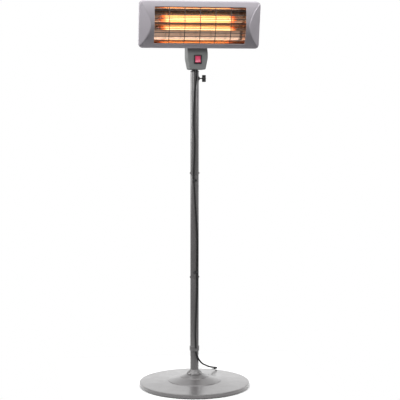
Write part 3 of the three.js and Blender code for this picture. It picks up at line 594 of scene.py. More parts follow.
def mirror_aluminium():
    # Painted reflection: the aluminium's colour and its streaks' tint are orange, standing in for the
    # heating coils' glow that the reflector gives back, where bare aluminium is grey. The streak pattern
    # itself is real brushing.
    finish = Finish("mirror_aluminium", (0.90, 0.62, 0.46), 0.18, 1.0)
    streaks = finish.noise(60, 3, where=finish.stretched(0.6, 14, 14))
    finish.tint(streaks, (0.80, 0.49, 0.34))
    finish.rough(streaks, 0.12, 0.22)
    finish.bump(finish.noise(22, 2), 0.12, 0.0012)
    return finish.material


def grained_plastic(name, colour, lighter, roughness):
    finish = Finish(name, colour, roughness)
    finish.tint(finish.noise(35, 4), lighter)
    grain = finish.cells(1500)
    finish.rough(finish.noise(300, 3), roughness - 0.07, roughness + 0.08)
    finish.bump(grain, 0.16, 0.00012)
    return finish.material


def red_plastic():
    finish = Finish("red_plastic", (0.62, 0.035, 0.125), 0.16)
    finish.tint(finish.noise(220, 3), (0.70, 0.06, 0.15))
    glow = finish.noise(140, 2)
    finish.rough(glow, 0.10, 0.18)
    finish.bump(glow, 0.03, 0.0002)
    finish.set(Emission_Color=(1.0, 0.06, 0.16, 1), Emission_Strength=0.1)
    finish.set(Coat_Weight=1.0, Coat_Roughness=0.05)
    return finish.material


def ceramic():
    finish = Finish("white_ceramic", (0.80, 0.78, 0.73), 0.55)
    finish.tint(finish.noise(420, 5, 0.7), (0.66, 0.62, 0.55), 0.55, 0.8)
    finish.rough(finish.noise(200, 3), 0.45, 0.65)
    finish.bump(finish.noise(1300, 3), 0.18, 0.0002)
    return finish.material


def quartz():
    finish = Finish("quartz", (1.0, 0.95, 0.88), 0.04)
    finish.rough(finish.noise(60, 2), 0.02, 0.07)
    finish.bump(finish.noise(90, 2, where=finish.stretched(0.15, 1, 1)), 0.08, 0.0005)
    finish.set(Transmission_Weight=1.0, IOR=1.45)
    return finish.material


GLOW_HALF_LENGTH = 0.168
GLOW_FADE = 0.03  # over this length at each end the wire is cooler
COOL, WARM, HOT = (0.6, 0.06, 0.005, 1), (1.0, 0.26, 0.04, 1), (1.0, 0.74, 0.36, 1)


def element():
    finish = Finish("element", (0.9, 0.45, 0.2), 0.5, 0.3)
    split = finish.node("ShaderNodeSeparateXYZ")
    finish.link(finish.place, split.inputs["Vector"])
    distance = finish.node("ShaderNodeMath", operation="ABSOLUTE")
    finish.link(split.outputs["X"], distance.inputs[0])
    heat = finish.spread(distance.outputs["Value"], 1, 0, GLOW_HALF_LENGTH - GLOW_FADE, GLOW_HALF_LENGTH)
    ramp = finish.node("ShaderNodeValToRGB")
    ramp.color_ramp.elements[0].color = COOL
    ramp.color_ramp.elements[1].color = HOT
    ramp.color_ramp.elements.new(0.5).color = WARM
    finish.link(heat, ramp.inputs["Fac"])
    finish.link(ramp.outputs["Color"], finish.shader.inputs["Emission Color"])
    finish.link(finish.spread(heat, 0.15, 2.9, 0, 1), finish.shader.inputs["Emission Strength"])
    finish.bump(finish.noise(1500, 2), 0.1, 0.0001)
    return finish.material


def black_rubber():
    finish = Finish("black_rubber", (0.012, 0.012, 0.013), 0.6)
    finish.tint(finish.noise(120, 5), (0.02, 0.0195, 0.0195))
    finish.rough(finish.noise(260, 3), 0.52, 0.7)
    finish.bump(finish.noise(1700, 3), 0.12, 0.0001)
    finish.set(Specular_IOR_Level=0.25)
    return finish.material


def cement():
    finish = Finish("cement", (0.40, 0.39, 0.36), 0.95)
    finish.tint(finish.noise(45, 8, 0.7), (0.27, 0.26, 0.24))
    finish.bump(finish.noise(260, 8, 0.7), 0.6, 0.001)
    return finish.material


def brass():
    finish = Finish("brass", (0.78, 0.58, 0.25), 0.28, 1.0)
    finish.tint(finish.noise(150, 4), (0.62, 0.44, 0.17))
    finish.rough(finish.noise(80, 4), 0.2, 0.38)
    return finish.material


MATERIALS = {
    "grey_paint": powder_coat(),
    "silver_paint": metallic_paint(),
    "dark_metal": dark_metal(),
    "zinc_steel": zinc_steel(),
    "mirror_aluminium": mirror_aluminium(),
    "grey_plastic": grained_plastic("grey_plastic", (0.185, 0.193, 0.191), (0.205, 0.212, 0.21), 0.48),
    "black_plastic": grained_plastic("black_plastic", (0.022, 0.022, 0.024), (0.035, 0.035, 0.037), 0.42),
    "red_plastic": red_plastic(),
    "white_ceramic": ceramic(),
    "quartz": quartz(),
    "element": element(),
    "black_rubber": black_rubber(),
    "cement": cement(),
    "brass": brass(),
}
SLOT_OF = {part["node"]: part["material_slot"] for part in frame["record"]["subparts"]}


def dressed(piece, body, slot, *nodes, angle=32):
    """Gives a piece its finish and its body, and hides the CAD nodes that it stands for."""
    piece.data.materials.clear()
    piece.data.materials.append(MATERIALS[slot])
    piece.data.shade_smooth()
    piece.data.set_sharp_from_angle(angle=math.radians(angle))
    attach(piece, body)
    if nodes:
        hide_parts(*nodes)
    return piece


def stand_in(piece, node, angle=32):
    """A finer piece in place of one CAD node, on the same body and in the same finish."""
    return dressed(piece, BODY_OF[node], SLOT_OF[node], node, angle=angle)


# ---- base ----
BOLT_HOLE = 5.6  # radius


def make_base():
    radius = reach("base_cover")[1].x
    top = reach("base_cover")[1].z
    sheet, lowest = 1.5, 3.2
    outside = [
        (BOLT_HOLE, top, 0.3), (36.5, top, 0.8), (64, 44, 0.6), (65.3, 42.3, 0.5), (120.5, 28.6, 0.6),
        (122.6, 26.2, 0.5), (243, 20, 2.5), (radius - 1.2, 18.9, 0.9), (radius, 17.6, 0.6),
        (radius, lowest, 0.5),
    ]
    inside = [(min(r, radius - sheet), max(z - sheet, lowest), soft) for r, z, soft in outside][::-1]
    stand_in(turned("base_shell", outside + inside, segments=200, steps=5), "base_cover")
    low, high = reach("base_pan")
    pan = [(BOLT_HOLE, low.z, 0.3), (high.x, low.z, 0.4), (high.x, high.z, 0.4), (BOLT_HOLE, high.z, 0.3)]
    stand_in(turned("bottom_plate", pan, segments=120), "base_pan")
    for node in [n for n in BODIES["stand"] if n.startswith("foot_") and n != "foot_sleeve"]:
        low, high = reach(node)
        centre = middle_of(node)
        pad = (high.x - low.x) / 2
        profile = [
            (0, low.z), (4, low.z, 0.2), (4.6, low.z + 0.7, 0.2), (6, low.z + 0.7, 0.2), (6.6, low.z, 0.2),
            (pad - 2, low.z, 1), (pad, low.z + 1.6, 0.8), (pad, high.z, 0.4), (0, high.z),
        ]
        stand_in(moved(turned(node + "_pad", profile, segments=40), shift(centre.x, centre.y, 0)), node)
    low, high = reach("base_bolt")
    shank = [(0, high.z), (4.6, high.z, 0.4), (4.6, low.z + 4, 0.3), (0, low.z + 4)]
    head = prism("bolt_head", polygon(high.x, 6), low.z + 0.1, low.z + 2.9, edge=0.4, soft=0.2)
    stand_in(joined("base_fixing_bolt", turned("bolt_shank", shank, segments=32), head), "base_bolt")


# ---- post ----
POST = reach("upper_tube")[1].x  # radius
WALL = 1.5  # of the post's tubes


def make_post():
    top = reach("base_cover")[1].z + GAP
    seam = reach("post_socket")[1].z
    socket = [
        (BOLT_HOLE, top, 0.2), (36, top, 0.4), (36, 57.6, 1), (32.5, 63.5, 3), (26, 69.5, 3),
        (20.4, 74, 1.6), (POST, 76.4, 0.8), (POST, seam, 0.25), (POST - WALL, seam, 0.2),
        (POST - WALL, 73, 0.3), (BOLT_HOLE, 73, 0.3),
    ]
    stand_in(turned("socket_flange", socket, segments=96, steps=5), "post_socket")
    for node in ("lower_tube", "middle_tube", "upper_tube"):
        low, high = reach(node)
        tube = [
            (POST - WALL, low.z, 0.2), (POST - 0.25, low.z, 0.2), (POST, low.z + 0.5, 0.3),
            (POST, high.z - 0.5, 0.3), (POST - 0.25, high.z, 0.2), (POST - WALL, high.z, 0.2),
        ]
        stand_in(turned(node + "_skin", tube, segments=96, steps=2), node)
    low, high = reach("top_bush")
    inner = reach("mast_tube")[1].x + GAP
    bush = [
        (inner, low.z, 0.3), (POST - WALL - GAP, low.z, 0.3), (POST - WALL - GAP, high.z - 3.7, 0.2),
        (high.x, high.z - 3.7, 0.3), (high.x, high.z - 1.2, 0.7), (high.x - 1.1, high.z, 0.5),
        (inner, high.z, 0.5),
    ]
    stand_in(turned("post_bush", bush, segments=96), "top_bush")


def cross_head(name, radius, height, shank, length):
    """A pan-head screw along +Z from its seat at 0, with a cross recess and a threaded shank."""
    profile = [
        (0, height), (radius * 0.62, height * 0.93, 0.8), (radius, height * 0.45, 0.9), (radius, 0, 0.15),
        (shank, 0, 0.2),
    ]
    pitch, depth = 0.8, 0.35
    for k in range(int(length / pitch)):
        profile += [(shank, -pitch * k - 0.2, 0.1), (shank - depth, -pitch * k - 0.6, 0.1)]
    profile += [(0, -length)]
    screw = turned(name, profile, segments=28)
    slots = []
    for angle in (0, 90):
        outline = rounded_rectangle(radius * 0.52, radius * 0.13, radius * 0.1, 3)
        slots.append(moved(prism("slot", outline, height * 0.42, height + 2, edge=0), turn(angle, "Z")))
    return cut(screw, *slots)


def make_seam_screws():
    for node in [n for n in BODIES["stand"] if n.startswith("seam_screw")]:
        low, high = reach(node)
        side = 1 if high.x > POST else -1
        head_height = abs(high.x if side > 0 else low.x) - POST - GAP
        screw = cross_head(node + "_fixing", 3.9, head_height, 2.0, 4.6)
        tilt = 17 * int(node.split("_")[2]) + (30 if side > 0 else 0)  # each cross stands at its own angle
        place = shift(side * (POST + GAP), 0, middle_of(node).z) @ turn(90 * side, "Y") @ turn(tilt, "Z")
        stand_in(moved(screw, place), node)


CLIP_HALF_WIDTH = 5
CLIP_HALF_SHEET = 0.65  # half of the strip's thickness
CLIP_WRAP = 176  # degrees that the strip goes round the cord


def make_clips():
    """Each clip is a strip round the cord, whose tab lies on the post under a screw."""
    for number, (point, side) in enumerate(CLIPS, 1):
        node = f"cord_clip_{number}"
        height = CORD_ROUTE[point][2] / MM
        cord = Vector(CORD_ROUTE[point][:2]) / MM
        hold = CORD_DIAMETER / MM / 2 + 0.9
        seat = POST + 1.0
        facing = math.atan2(cord.y, cord.x)
        middle = []
        for k in range(7):
            angle = facing + side * (0.78 - 0.085 * k)
            middle.append(Vector((seat * math.cos(angle), seat * math.sin(angle))))
        for k in range(13):
            angle = facing + side * math.radians(CLIP_WRAP / 2 - CLIP_WRAP * k / 12)
            middle.append(cord + Vector((math.cos(angle), math.sin(angle))) * hold)
        strip = soften([tuple(p) for p in middle], 0.8, closed=False, steps=2)
        outer, inner = [], []
        for k, p in enumerate(strip):
            along = (strip[min(k + 1, len(strip) - 1)] - strip[max(k - 1, 0)]).normalized()
            across = Vector((-along.y, along.x)) * CLIP_HALF_SHEET
            outer.append(p + across)
            inner.append(p - across)
        outline = [tuple(p) for p in outer + inner[::-1]]
        low, high = height - CLIP_HALF_WIDTH, height + CLIP_HALF_WIDTH
        strap = prism("strap", outline, low, high, edge=0.3, soft=0.2)
        screw = cross_head("clip_screw", 2.9, 1.5, 1.5, 2.4)
        away = facing + side * 0.62  # where the screw stands, round the post
        centre = Vector((math.cos(away), math.sin(away))) * (seat + CLIP_HALF_SHEET)
        place = shift(centre.x, centre.y, height) @ turn(math.degrees(away), "Z") @ turn(90, "Y")
        stand_in(joined(node + "_strap", strap, moved(screw, place)), node)


def make_band():
    """The lowest clip goes round the post, with a loop for the cord and an opening over each seam screw."""
    low, high = reach("cord_clip_3")
    radius = high.x
    inner = POST + GAP
    profile = [
        (inner, low.z, 0.3), (radius - 0.9, low.z, 0.5), (radius, low.z + 2.5, 1.2),
        (radius, high.z - 2.5, 1.2), (radius - 0.9, high.z, 0.5), (inner, high.z, 0.3),
    ]
    band = turned("band", profile, segments=96)
    x, y, height = Vector(CORD_ROUTE[BAND_POINT]) / MM
    bore = CORD_DIAMETER / MM / 2 + 0.6
    past = 2  # how far a drill stands past each end
    channel = moved(rod(bore, low.z - past, high.z + past), shift(x, y, 0))
    place = shift(0, 0, middle_of("seam_screw_1_left").z) @ turn(90, "Y")
    openings = moved(rod(4.3, -radius - 3, radius + 3), place)
    band = cut(band, channel, openings)
    rim, under, over = bore + 1.5, height - 6, height + 6
    loop = [(bore, under, 0.3), (rim, under, 0.4), (rim, over, 0.4), (bore, over, 0.3)]
    loop = moved(turned("loop", loop, segments=40), shift(x, y, 0))
    loop = cut(loop, rod(inner, low.z - past, high.z + past, segments=96))
    stand_in(joined("cord_band", band, loop), "cord_clip_3")


# ---- mast and its clamp ----
def make_mast():
    low, high = reach("mast_tube")
    wall = 1.4
    tube = [(high.x - wall, low.z), (high.x, low.z), (high.x, high.z), (high.x - wall, high.z)]
    stand_in(turned("mast_skin", tube, segments=72), "mast_tube")


def make_clamp():
    height = middle_of("clamp_screw").z
    along_x = shift(0, 0, height) @ turn(90, "Y")
    bore, face, end = 3.2, POST + 3, reach("clamp_boss")[1].x
    boss = [(bore, POST - 0.9, 0.2), (8, POST - 0.9, 0.3), (8, face, 0.8), (bore, face, 0.3)]
    boss = turned("boss", boss, segments=48)
    nut = prism("nut", polygon(6, 6), face, end, edge=0.5, soft=0.3)
    nut = cut(nut, rod(bore, face - 1, end + 1))
    saddle = moved(rod(POST + GAP, -12, 12, segments=96), turn(-90, "Y"))
    stand_in(moved(cut(joined("clamp_block", boss, nut), saddle), along_x), "clamp_boss")
    low, high = reach("clamp_screw")
    crest, root, pitch = 2.9, 2.45, 1.0
    thread = [(0, low.x), (2.2, low.x, 0.3), (crest, low.x + 1, 0.1)]
    for k in range(int((high.x - low.x - 3) / pitch)):
        start = low.x + 1.4 + k * pitch
        thread += [(crest, start, 0.08), (root, start + pitch * 0.45, 0.08)]
    thread += [(crest, high.x - 1, 0.2), (crest, high.x), (0, high.x)]
    stand_in(moved(turned("clamp_thread", thread, segments=40), along_x), "clamp_screw")
    low, high = reach("clamp_knob")
    middle = (low.x + high.x) / 2
    half = high.x - middle
    hub = [(0, -half), (7, -half, 1.5), (7, half, 2.2), (0, half)]
    hub = turned("hub", hub, segments=48, steps=5)
    lobe_radius = 5
    offset = high.z - height - lobe_radius
    web = prism("web", rounded_rectangle(offset, 2.8, 1), -half + 1.5, half - 1.5, edge=1.5)
    parts = [hub, web]
    for side in (-1, 1):
        lobe = [(0, -half), (lobe_radius, -half, 3), (lobe_radius, half, 3), (0, half)]
        parts.append(moved(turned("lobe", lobe, segments=40, steps=6), shift(side * offset, 0, 0)))
    knob = joined("wing_knob", *parts)
    remesh = knob.modifiers.new("remesh", "REMESH")
    remesh.mode = "VOXEL"
    remesh.voxel_size = 0.5 * MM
    relax = knob.modifiers.new("relax", "SMOOTH")
    relax.factor = 0.5
    relax.iterations = 6
    place = shift(middle, 0, height) @ turn(90, "Y")
    stand_in(moved(applied(knob), place), "clamp_knob", angle=80)


# ---- control box ----
BOX_LOW, BOX_HIGH = reach("box_front")[0], reach("box_rear")[1]
BOX_HALF = BOX_HIGH.x
BOX_SPLIT = reach("box_front")[1].y + 0.15
BROW = 1508  # the height over which the front leans back
TOP_FRONT = -55  # the front's place at the box's top
BOX_TAPER = 10  # how far each side leans in from its knee to the bottom
BOX_KNEE = 50  # the knee's height over the bottom
BOX_BOTTOM_CORNER = 6  # radius
BOX_RIM = 3.5  # radius of the rounded edge round the top and the bottom
BOX_WALL = 2.5


def eased(past, ease=6):
    """How far past a bend a place is, or 0 before it. The bend is eased over a length to each side."""
    return max(past, 0) if abs(past) > ease else (past + ease) ** 2 / (4 * ease)


def box_levels():
    """(height, half width, front, shrink) of the box's outline at each level, from the bottom up."""
    bottom, top, front = BOX_LOW.z, BOX_HIGH.z, BOX_LOW.y
    rim = BOX_RIM
    heights = [bottom + rim * (1 - math.cos(math.pi / 2 * k / 5)) for k in range(6)]
    heights += [bottom + up for up in (4.5, 6, 9, 20, 32, 44, 46, 48, 50, 52, 54, 56)]
    heights += [1500, BROW - 6, BROW - 4, BROW - 2, BROW, BROW + 2, BROW + 4, BROW + 6, 1530, top - rim]
    heights += [top - rim * (1 - math.sin(math.pi / 2 * k / 5)) for k in range(1, 6)]
    heights = sorted(set(round(h, 4) for h in heights))
    levels = []
    for height in heights:
        up = height - bottom
        half = BOX_HALF - BOX_TAPER / BOX_KNEE * eased(BOX_KNEE - up)
        if up < BOX_BOTTOM_CORNER:
            half -= (BOX_BOTTOM_CORNER - rim) * (1 - math.sqrt(1 - (1 - up / BOX_BOTTOM_CORNER) ** 2))
        lean = (TOP_FRONT - front) / (top - BROW) * eased(height - BROW)
        edge = min(up, top - height)
        shrink = rim - math.sqrt(max(rim**2 - (rim - edge) ** 2, 0)) if edge < rim else 0
        levels.append((height, half, front + lean, shrink))
    return levels


def box_half(name, front_half):
    """Half of the box's shell, open where the two halves meet."""
    rings = []
    for height, half, front, shrink in box_levels():
        half, rear, front = half - shrink, BOX_HIGH.y - shrink, front + shrink
        split = BOX_SPLIT + (-0.2 if front_half else 0.2)
        if front_half:
            radius, edge, corners = 5, front, ((1, 1, 0), (-1, 1, -90))
        else:
            radius, edge, corners = 24, rear, ((1, -1, 0), (-1, -1, 90))
        ring = [Vector((half, split, height))]
        for sx, sy, start in corners:
            for k in range(11):
                angle = math.radians(start - 9 * k * sy)
                x = sx * (half - radius) + radius * math.cos(angle)
                y = edge + sy * radius + radius * math.sin(angle)
                ring.append(Vector((x, y, height)))
        ring.append(Vector((-half, split, height)))
        rings.append(ring)
    return walled(lofted(name, rings, around=False), BOX_WALL, Vector((0, 0, 1)))


SWITCH_HEIGHT = middle_of("switch_frame").z
ROCKER_PIVOT = -86
ROCKER_TILT = -9  # degrees: it rests pressed to on


def make_box():
    front = box_half("box_front_cover", True)
    opening = rounded_rectangle(15.2, 17.7, 1)
    opening = prism("opening", opening, BOX_LOW.y - 5, BOX_LOW.y + 8, ALONG_Y, edge=0)
    gland = middle_of("cord_gland")
    under, inside = 1420, 1440  # below and above the box's floor
    hole = moved(rod(6.3, under, inside, segments=72), shift(gland.x, gland.y, 0))
    stand_in(cut(front, moved(opening, shift(0, 0, SWITCH_HEIGHT)), hole), "box_front")
    rear = box_half("box_rear_shell", False)
    tools = [rod(14.3, under, inside, segments=72)]
    for node, tilt in (("box_screw_1", 20), ("box_screw_2", 65)):
        low, high = reach(node)
        middle = middle_of(node)
        hole = rod(4.3, high.y - 8, high.y + 30)
        tools.append(moved(hole, shift(middle.x, 0, middle.z) @ turn(-90, "X")))
        screw = cross_head(node + "_fixing", 3.8, 2.2, 1.6, high.y - low.y - 2.4)
        place = shift(middle.x, high.y - 2.2, middle.z) @ turn(-90, "X") @ turn(tilt, "Z")
        stand_in(moved(screw, place), node)
    stand_in(cut(rear, *tools), "box_rear")


def make_switch():
    low, high = reach("switch_frame")
    face = BOX_LOW.y
    pieces = []
    for name, outline, front, back, edge in (
        ("flange", rounded_rectangle(17.5, 20, 3), low.y, face - GAP, 1.1),
        ("body", rounded_rectangle(14.8, 17.3, 0.8), face - 1.2, high.y, 0.3),
    ):
        solid = prism(name, outline, front, back, ALONG_Y, edge=edge, soft=0)
        well = prism("well", rounded_rectangle(12.5, 16, 1), face - 9, face + 18, ALONG_Y, edge=0, soft=0)
        pieces.append(cut(solid, well))
    frame_piece = joined("switch_bezel", *pieces)
    stand_in(moved(frame_piece, shift(0, 0, SWITCH_HEIGHT)), "switch_frame")
    outline = [
        (-8.1, 14.0, 0.8), (-6.0, 8.5, 3), (-5.2, 0, 3), (-6.0, -8.5, 3), (-8.1, -14.0, 0.8),
        (-3, -14.2, 1), (4, -9, 1), (8, -4, 1), (8, 4, 1), (4, 9, 1), (-3, 14.2, 1),
    ]
    rocker = prism("rocker_paddle", outline, -12, 12, ALONG_X, edge=0.9, steps=6)
    place = shift(0, ROCKER_PIVOT, SWITCH_HEIGHT) @ turn(ROCKER_TILT, "X")
    stand_in(moved(rocker, place), "rocker")


def make_gland():
    low, high = reach("cord_gland")
    centre = middle_of("cord_gland")
    under = BOX_LOW.z - GAP
    inner, outer = 3.75, 4.5  # the sleeve's radii at its lower end
    sleeve = [(inner, low.z, 0.2), (outer, low.z, 0.3)]
    for k in range(5):
        start = low.z + 2 + k * 3.4
        ring = outer + 0.22 * k
        sleeve += [(ring, start, 0.3), (ring - 0.7, start + 0.5, 0.2)]
        sleeve += [(ring - 0.7, start + 1.1, 0.2), (ring + 0.1, start + 1.6, 0.3)]
    sleeve += [(5.6, 1426.4, 0.6), (6.6, 1427.6, 0.6), (6.6, under, 0.3), (5.9, under, 0.2)]
    sleeve += [(5.9, high.z, 0.4), (inner, high.z, 0.2)]
    nut = prism("gland_nut", polygon(7.5, 6), 1428, under, edge=0.5, soft=0.3)
    nut = cut(nut, rod(inner, low.z, high.z))
    piece = joined("strain_relief", turned("sleeve", sleeve, segments=48), nut)
    return stand_in(moved(piece, shift(centre.x, centre.y, 0)), "cord_gland")


# ---- tilt hinge ----
PIVOT = middle_of("pivot_bolt")
HEAD_TILT = 11.7
# The head's own frame has its rim's centre at the origin.
HEAD_PLACE = shift(0, -141, 1625) @ turn(HEAD_TILT, "X")


HINGE_BORE = 4.3  # radius
HOUSING_DEPTH = 75  # of the head, behind its rim


def ear(name, x0, x1, foot, radius=11):
    """A plate with a round end about the pivot. foot is the outline's other end, in (y, z)."""
    angles = [math.pi * k / 14 for k in range(15)]
    arc = [(PIVOT.y + radius * math.cos(a), PIVOT.z + radius * math.sin(a), 0) for a in angles]
    return prism(name, [*foot, *arc], x0, x1, ALONG_X, edge=0.5, soft=1.5)


def make_hinge():
    low, high = reach("tilt_bracket")
    base = low.z
    plate = prism("plate", rounded_rectangle(high.x, 27, 3), base, base + 3, edge=0.5)
    foot = [(-40, base + 0.4), (-6, base + 0.4)]
    ears = [ear("ear", x, x + 3, foot) for x in (low.x, high.x - 3)]
    on_axis = shift(0, PIVOT.y, PIVOT.z) @ turn(90, "Y")
    ears = [cut(e, moved(rod(HINGE_BORE, -40, 40), on_axis)) for e in ears]
    stand_in(joined("bracket", moved(plate, shift(0, -13, 0)), *ears), "tilt_bracket")
    make_lug()
    low, high = reach("pivot_bolt")
    bolt = [
        (0, low.x), (4.5, low.x, 1.2), (7, low.x + 2.6, 1.4), (7, -25.3, 0.3), (4, -25.3, 0.2),
        (4, 26, 0.2), (0, 26),
    ]
    bolt = turned("bolt", bolt, segments=48)
    washer = [(4.1, 25.3, 0.2), (8.6, 25.3, 0.3), (8.6, 26.4, 0.3), (4.1, 26.4, 0.2)]
    washer = turned("washer", washer, segments=48)
    nut = prism("nut", polygon(7.5, 6), 26.4, 30.4, edge=0.6, soft=0.3)
    thread = turned("thread", [(0, 25), (3.9, 25), (3.9, 30.6, 0.4), (3.2, 31, 0.2), (0, 31)], segments=32)
    stand_in(moved(joined("hinge_bolt", bolt, washer, nut, thread), on_axis), "pivot_bolt")


def make_lug():
    """Two cheeks on a plate behind the head, drawn in the head's own frame."""
    pivot = HEAD_PLACE.inverted() @ (Vector((0, PIVOT.y, PIVOT.z)) * MM) / MM
    face, half, sheet = HOUSING_DEPTH + GAP, 21.5, 3
    on_axis = shift(0, pivot.y, pivot.z) @ turn(90, "Y")
    angles = [math.pi * k / 14 for k in range(15)]
    arc = [(pivot.y + 10 * math.sin(a), pivot.z - 10 * math.cos(a), 0) for a in angles]
    outline = [(face + 0.4, pivot.z + 22), (face + 0.4, pivot.z - 7), *arc]
    cheeks = []
    for x in (-half, half - sheet):
        cheek = prism("cheek", outline, x, x + sheet, ALONG_X, edge=0.5, soft=1.5)
        cheeks.append(cut(cheek, moved(rod(HINGE_BORE, -40, 40), on_axis)))
    plate = prism("plate", rounded_rectangle(half, 14.5, 2), face, face + sheet, ALONG_Y, edge=0.5)
    plate = moved(plate, shift(0, 0, pivot.z + 7.5))
    stand_in(moved(joined("lug", plate, *cheeks), HEAD_PLACE), "tilt_lug")


# ---- head, in its own frame: X across, Z up along the face, -Y forward of the rim ----
HEAD_HALF_WIDTH = reach("bezel")[1].x
HEAD_HALF_HEIGHT = 102.5
BULGE = 28  # of the front's middle, in front of the rim
FACET_RISE = 26 / 48  # slope of the facet at each end
RIM_CORNER = 20
SKIRT = 12
WINDOW = (201, 80.7, 6)  # half width, half height and corner radius
WINDOW_CENTRE = -1.7


def barrel(v):
    return BULGE * (1 - abs(v / HEAD_HALF_HEIGHT) ** 1.6)


def face_height(x, v):
    """How far the head's front stands out: a barrel that two end facets cut off, with a soft crease."""
    facet = 13 + (HEAD_HALF_WIDTH - 24 - abs(x)) * FACET_RISE
    front = barrel(v)
    crease = 1.2
    gap = facet - front
    if abs(gap) >= crease:
        return min(facet, front)
    return min(facet, front) - (crease - abs(gap)) ** 2 / (4 * crease)


def spaced_outline(half_width, half_height, radius, count, centre=0.0):
    """Points at even spacing round a rounded rectangle, starting at the middle of its right side."""
    corner = math.pi / 2 * radius
    width, height = 2 * (half_width - radius), 2 * (half_height - radius)
    total = 2 * width + 2 * height + 4 * corner
    points = []
    for k in range(count):
        s = total * k / count
        sides = [height / 2, corner, width, corner, height, corner, width, corner, height / 2]
        for part, length in enumerate(sides):
            if s <= length or part == 8:
                break
            s -= length
        a, b = half_width - radius, half_height - radius
        straight = {
            0: (half_width, s), 2: (a - s, half_height), 4: (-half_width, b - s),
            6: (s - a, -half_height), 8: (half_width, s - b),
        }
        if part in straight:
            x, z = straight[part]
        else:
            quarter = (part - 1) // 2
            angle = math.pi / 2 * quarter + s / radius
            sx, sz = ((1, 1), (-1, 1), (-1, -1), (1, -1))[quarter]
            x, z = sx * a + radius * math.cos(angle), sz * b + radius * math.sin(angle)
        points.append(Vector((x, z + centre)))
    return points


BEZEL_WALL = 1.3
HOUSING_WALL = 1.4


def make_bezel():
    count = 640
    outer = spaced_outline(HEAD_HALF_WIDTH, HEAD_HALF_HEIGHT, RIM_CORNER, count)
    window = spaced_outline(*WINDOW, count, WINDOW_CENTRE)
    roll = 3.0  # radius of the rounded edge between the front and the skirt
    lip, lip_depth = 1.4, 3.2  # the edge rolled in round the window
    rings = []
    for depth in (SKIRT, SKIRT - 1.5, 8, roll + 1.5):
        rings.append([Vector((p.x, depth, p.y)) for p in outer])
    for k in range(6):
        angle = math.pi / 2 * k / 5
        ring = inset(outer, roll * (1 - math.cos(angle)))
        back = roll * (1 - math.sin(angle))
        rings.append([Vector((p.x, back - face_height(p.x, p.y), p.y)) for p in ring])
    start = inset(outer, roll)
    steps = 26
    for k in range(1, steps + 1):
        t = k / steps
        ring = [a.lerp(b, t) for a, b in zip(start, window)]
        rings.append([Vector((p.x, -face_height(p.x, p.y), p.y)) for p in ring])
    for k in range(1, 6):
        angle = math.pi / 2 * k / 5
        ring = inset(window, lip * math.sin(angle))
        back = lip * (1 - math.cos(angle))
        rings.append([Vector((p.x, back - face_height(q.x, q.y), p.y)) for p, q in zip(ring, window)])
    last = inset(window, lip)
    rings.append([Vector((p.x, lip_depth - face_height(q.x, q.y), p.y)) for p, q in zip(last, window)])
    shell = walled(lofted("bezel_shell", rings, caps=()), BEZEL_WALL, Vector((0, -1, 0)))
    stand_in(moved(shell, HEAD_PLACE), "bezel", angle=40)


def make_housing():
    count = 260
    sections = [
        (262, 98.5, 17, 2.5), (262, 98.5, 17, 13), (261.6, 98.1, 17, 15), (260.2, 96.7, 17.4, 18),
        (254, 91.4, 17.8, 28.5), (242, 81.6, 19, 48), (230.4, 71.9, 20.5, 67), (228.4, 70.2, 20.8, 70.4),
        (226, 68.4, 20.6, 73), (222.5, 65.6, 19.5, 74.6), (218, 62, 17, HOUSING_DEPTH),
    ]
    rings = []
    for half_width, half_height, radius, depth in sections:
        outline = spaced_outline(half_width, half_height, radius, count)
        rings.append([Vector((p.x, depth, p.y)) for p in outline])
    shell = walled(lofted("housing_shell", rings, caps=(-1,)), HOUSING_WALL, Vector((0, 1, 0)))
    slots = []
    outline = rounded_rectangle(20, 2, 1.99)
    for row in (38, 50):
        for i in range(-3, 4):
            slot = prism("slot", outline, HOUSING_DEPTH - 8, HOUSING_DEPTH + 8, ALONG_Y, edge=0, soft=0)
            slots.append(moved(slot, shift(i * 56, 0, row)))
    stand_in(moved(cut(shell, joined("slots", *slots)), HEAD_PLACE), "head_housing", angle=35)


TUBE_OFFSET = 21  # of each tube, above or below the head's middle
TUBE_DEPTH = 24  # the quartz tubes' depth behind the rim
QUARTZ_RADIUS = 7
TROUGH_END = 206  # half length
# The trough's section, as (depth, height) from its upper lip to its middle ridge.
HALF_TROUGH = [
    (4, 80), (27.3, 71.1), (35.6, 57.9), (41.5, 37.3), (42.6, 26), (42.3, 15.2), (38.7, 5.3), (33.9, 0),
]
TROUGH = HALF_TROUGH + [(y, -z) for y, z in HALF_TROUGH[-2::-1]]


def make_reflector():
    count = len(HALF_TROUGH)
    front = smooth_path([(y, z, 0) for y, z in TROUGH[:count]], 6)[:-1]
    front += smooth_path([(y, z, 0) for y, z in TROUGH[count - 1:]], 6)
    front = [Vector((p.x, p.y)) for p in front]
    thickness = 0.9
    back = []
    for i, p in enumerate(front):
        along = (front[min(i + 1, len(front) - 1)] - front[max(i - 1, 0)]).normalized()
        back.append(p + Vector((-along.y, along.x)) * thickness)
    outline = [(p.x, p.y) for p in front + back[::-1]]
    sheet = prism("sheet", outline, -TROUGH_END, TROUGH_END, ALONG_X, edge=0, soft=0)
    plates = []
    for side in (-1, 1):
        rim = [(4, 80), (28.2, 71.6), (36.6, 58), (42.6, 37.4), (43.6, 26), (43.3, 15)]
        outline = rim + [(y, -z) for y, z in rim[::-1]]
        end = side * TROUGH_END
        plate = prism("end", outline, end - 0.6, end + 0.6, ALONG_X, edge=0.2, soft=2)
        holes = []
        for row in (1, -1):
            place = shift(end, TUBE_DEPTH, row * TUBE_OFFSET) @ turn(90, "Y")
            holes.append(moved(rod(8, -8, 8, segments=48), place))
        plates.append(cut(plate, *holes))
    stand_in(moved(joined("reflector_sheet", sheet, *plates), HEAD_PLACE), "reflector")


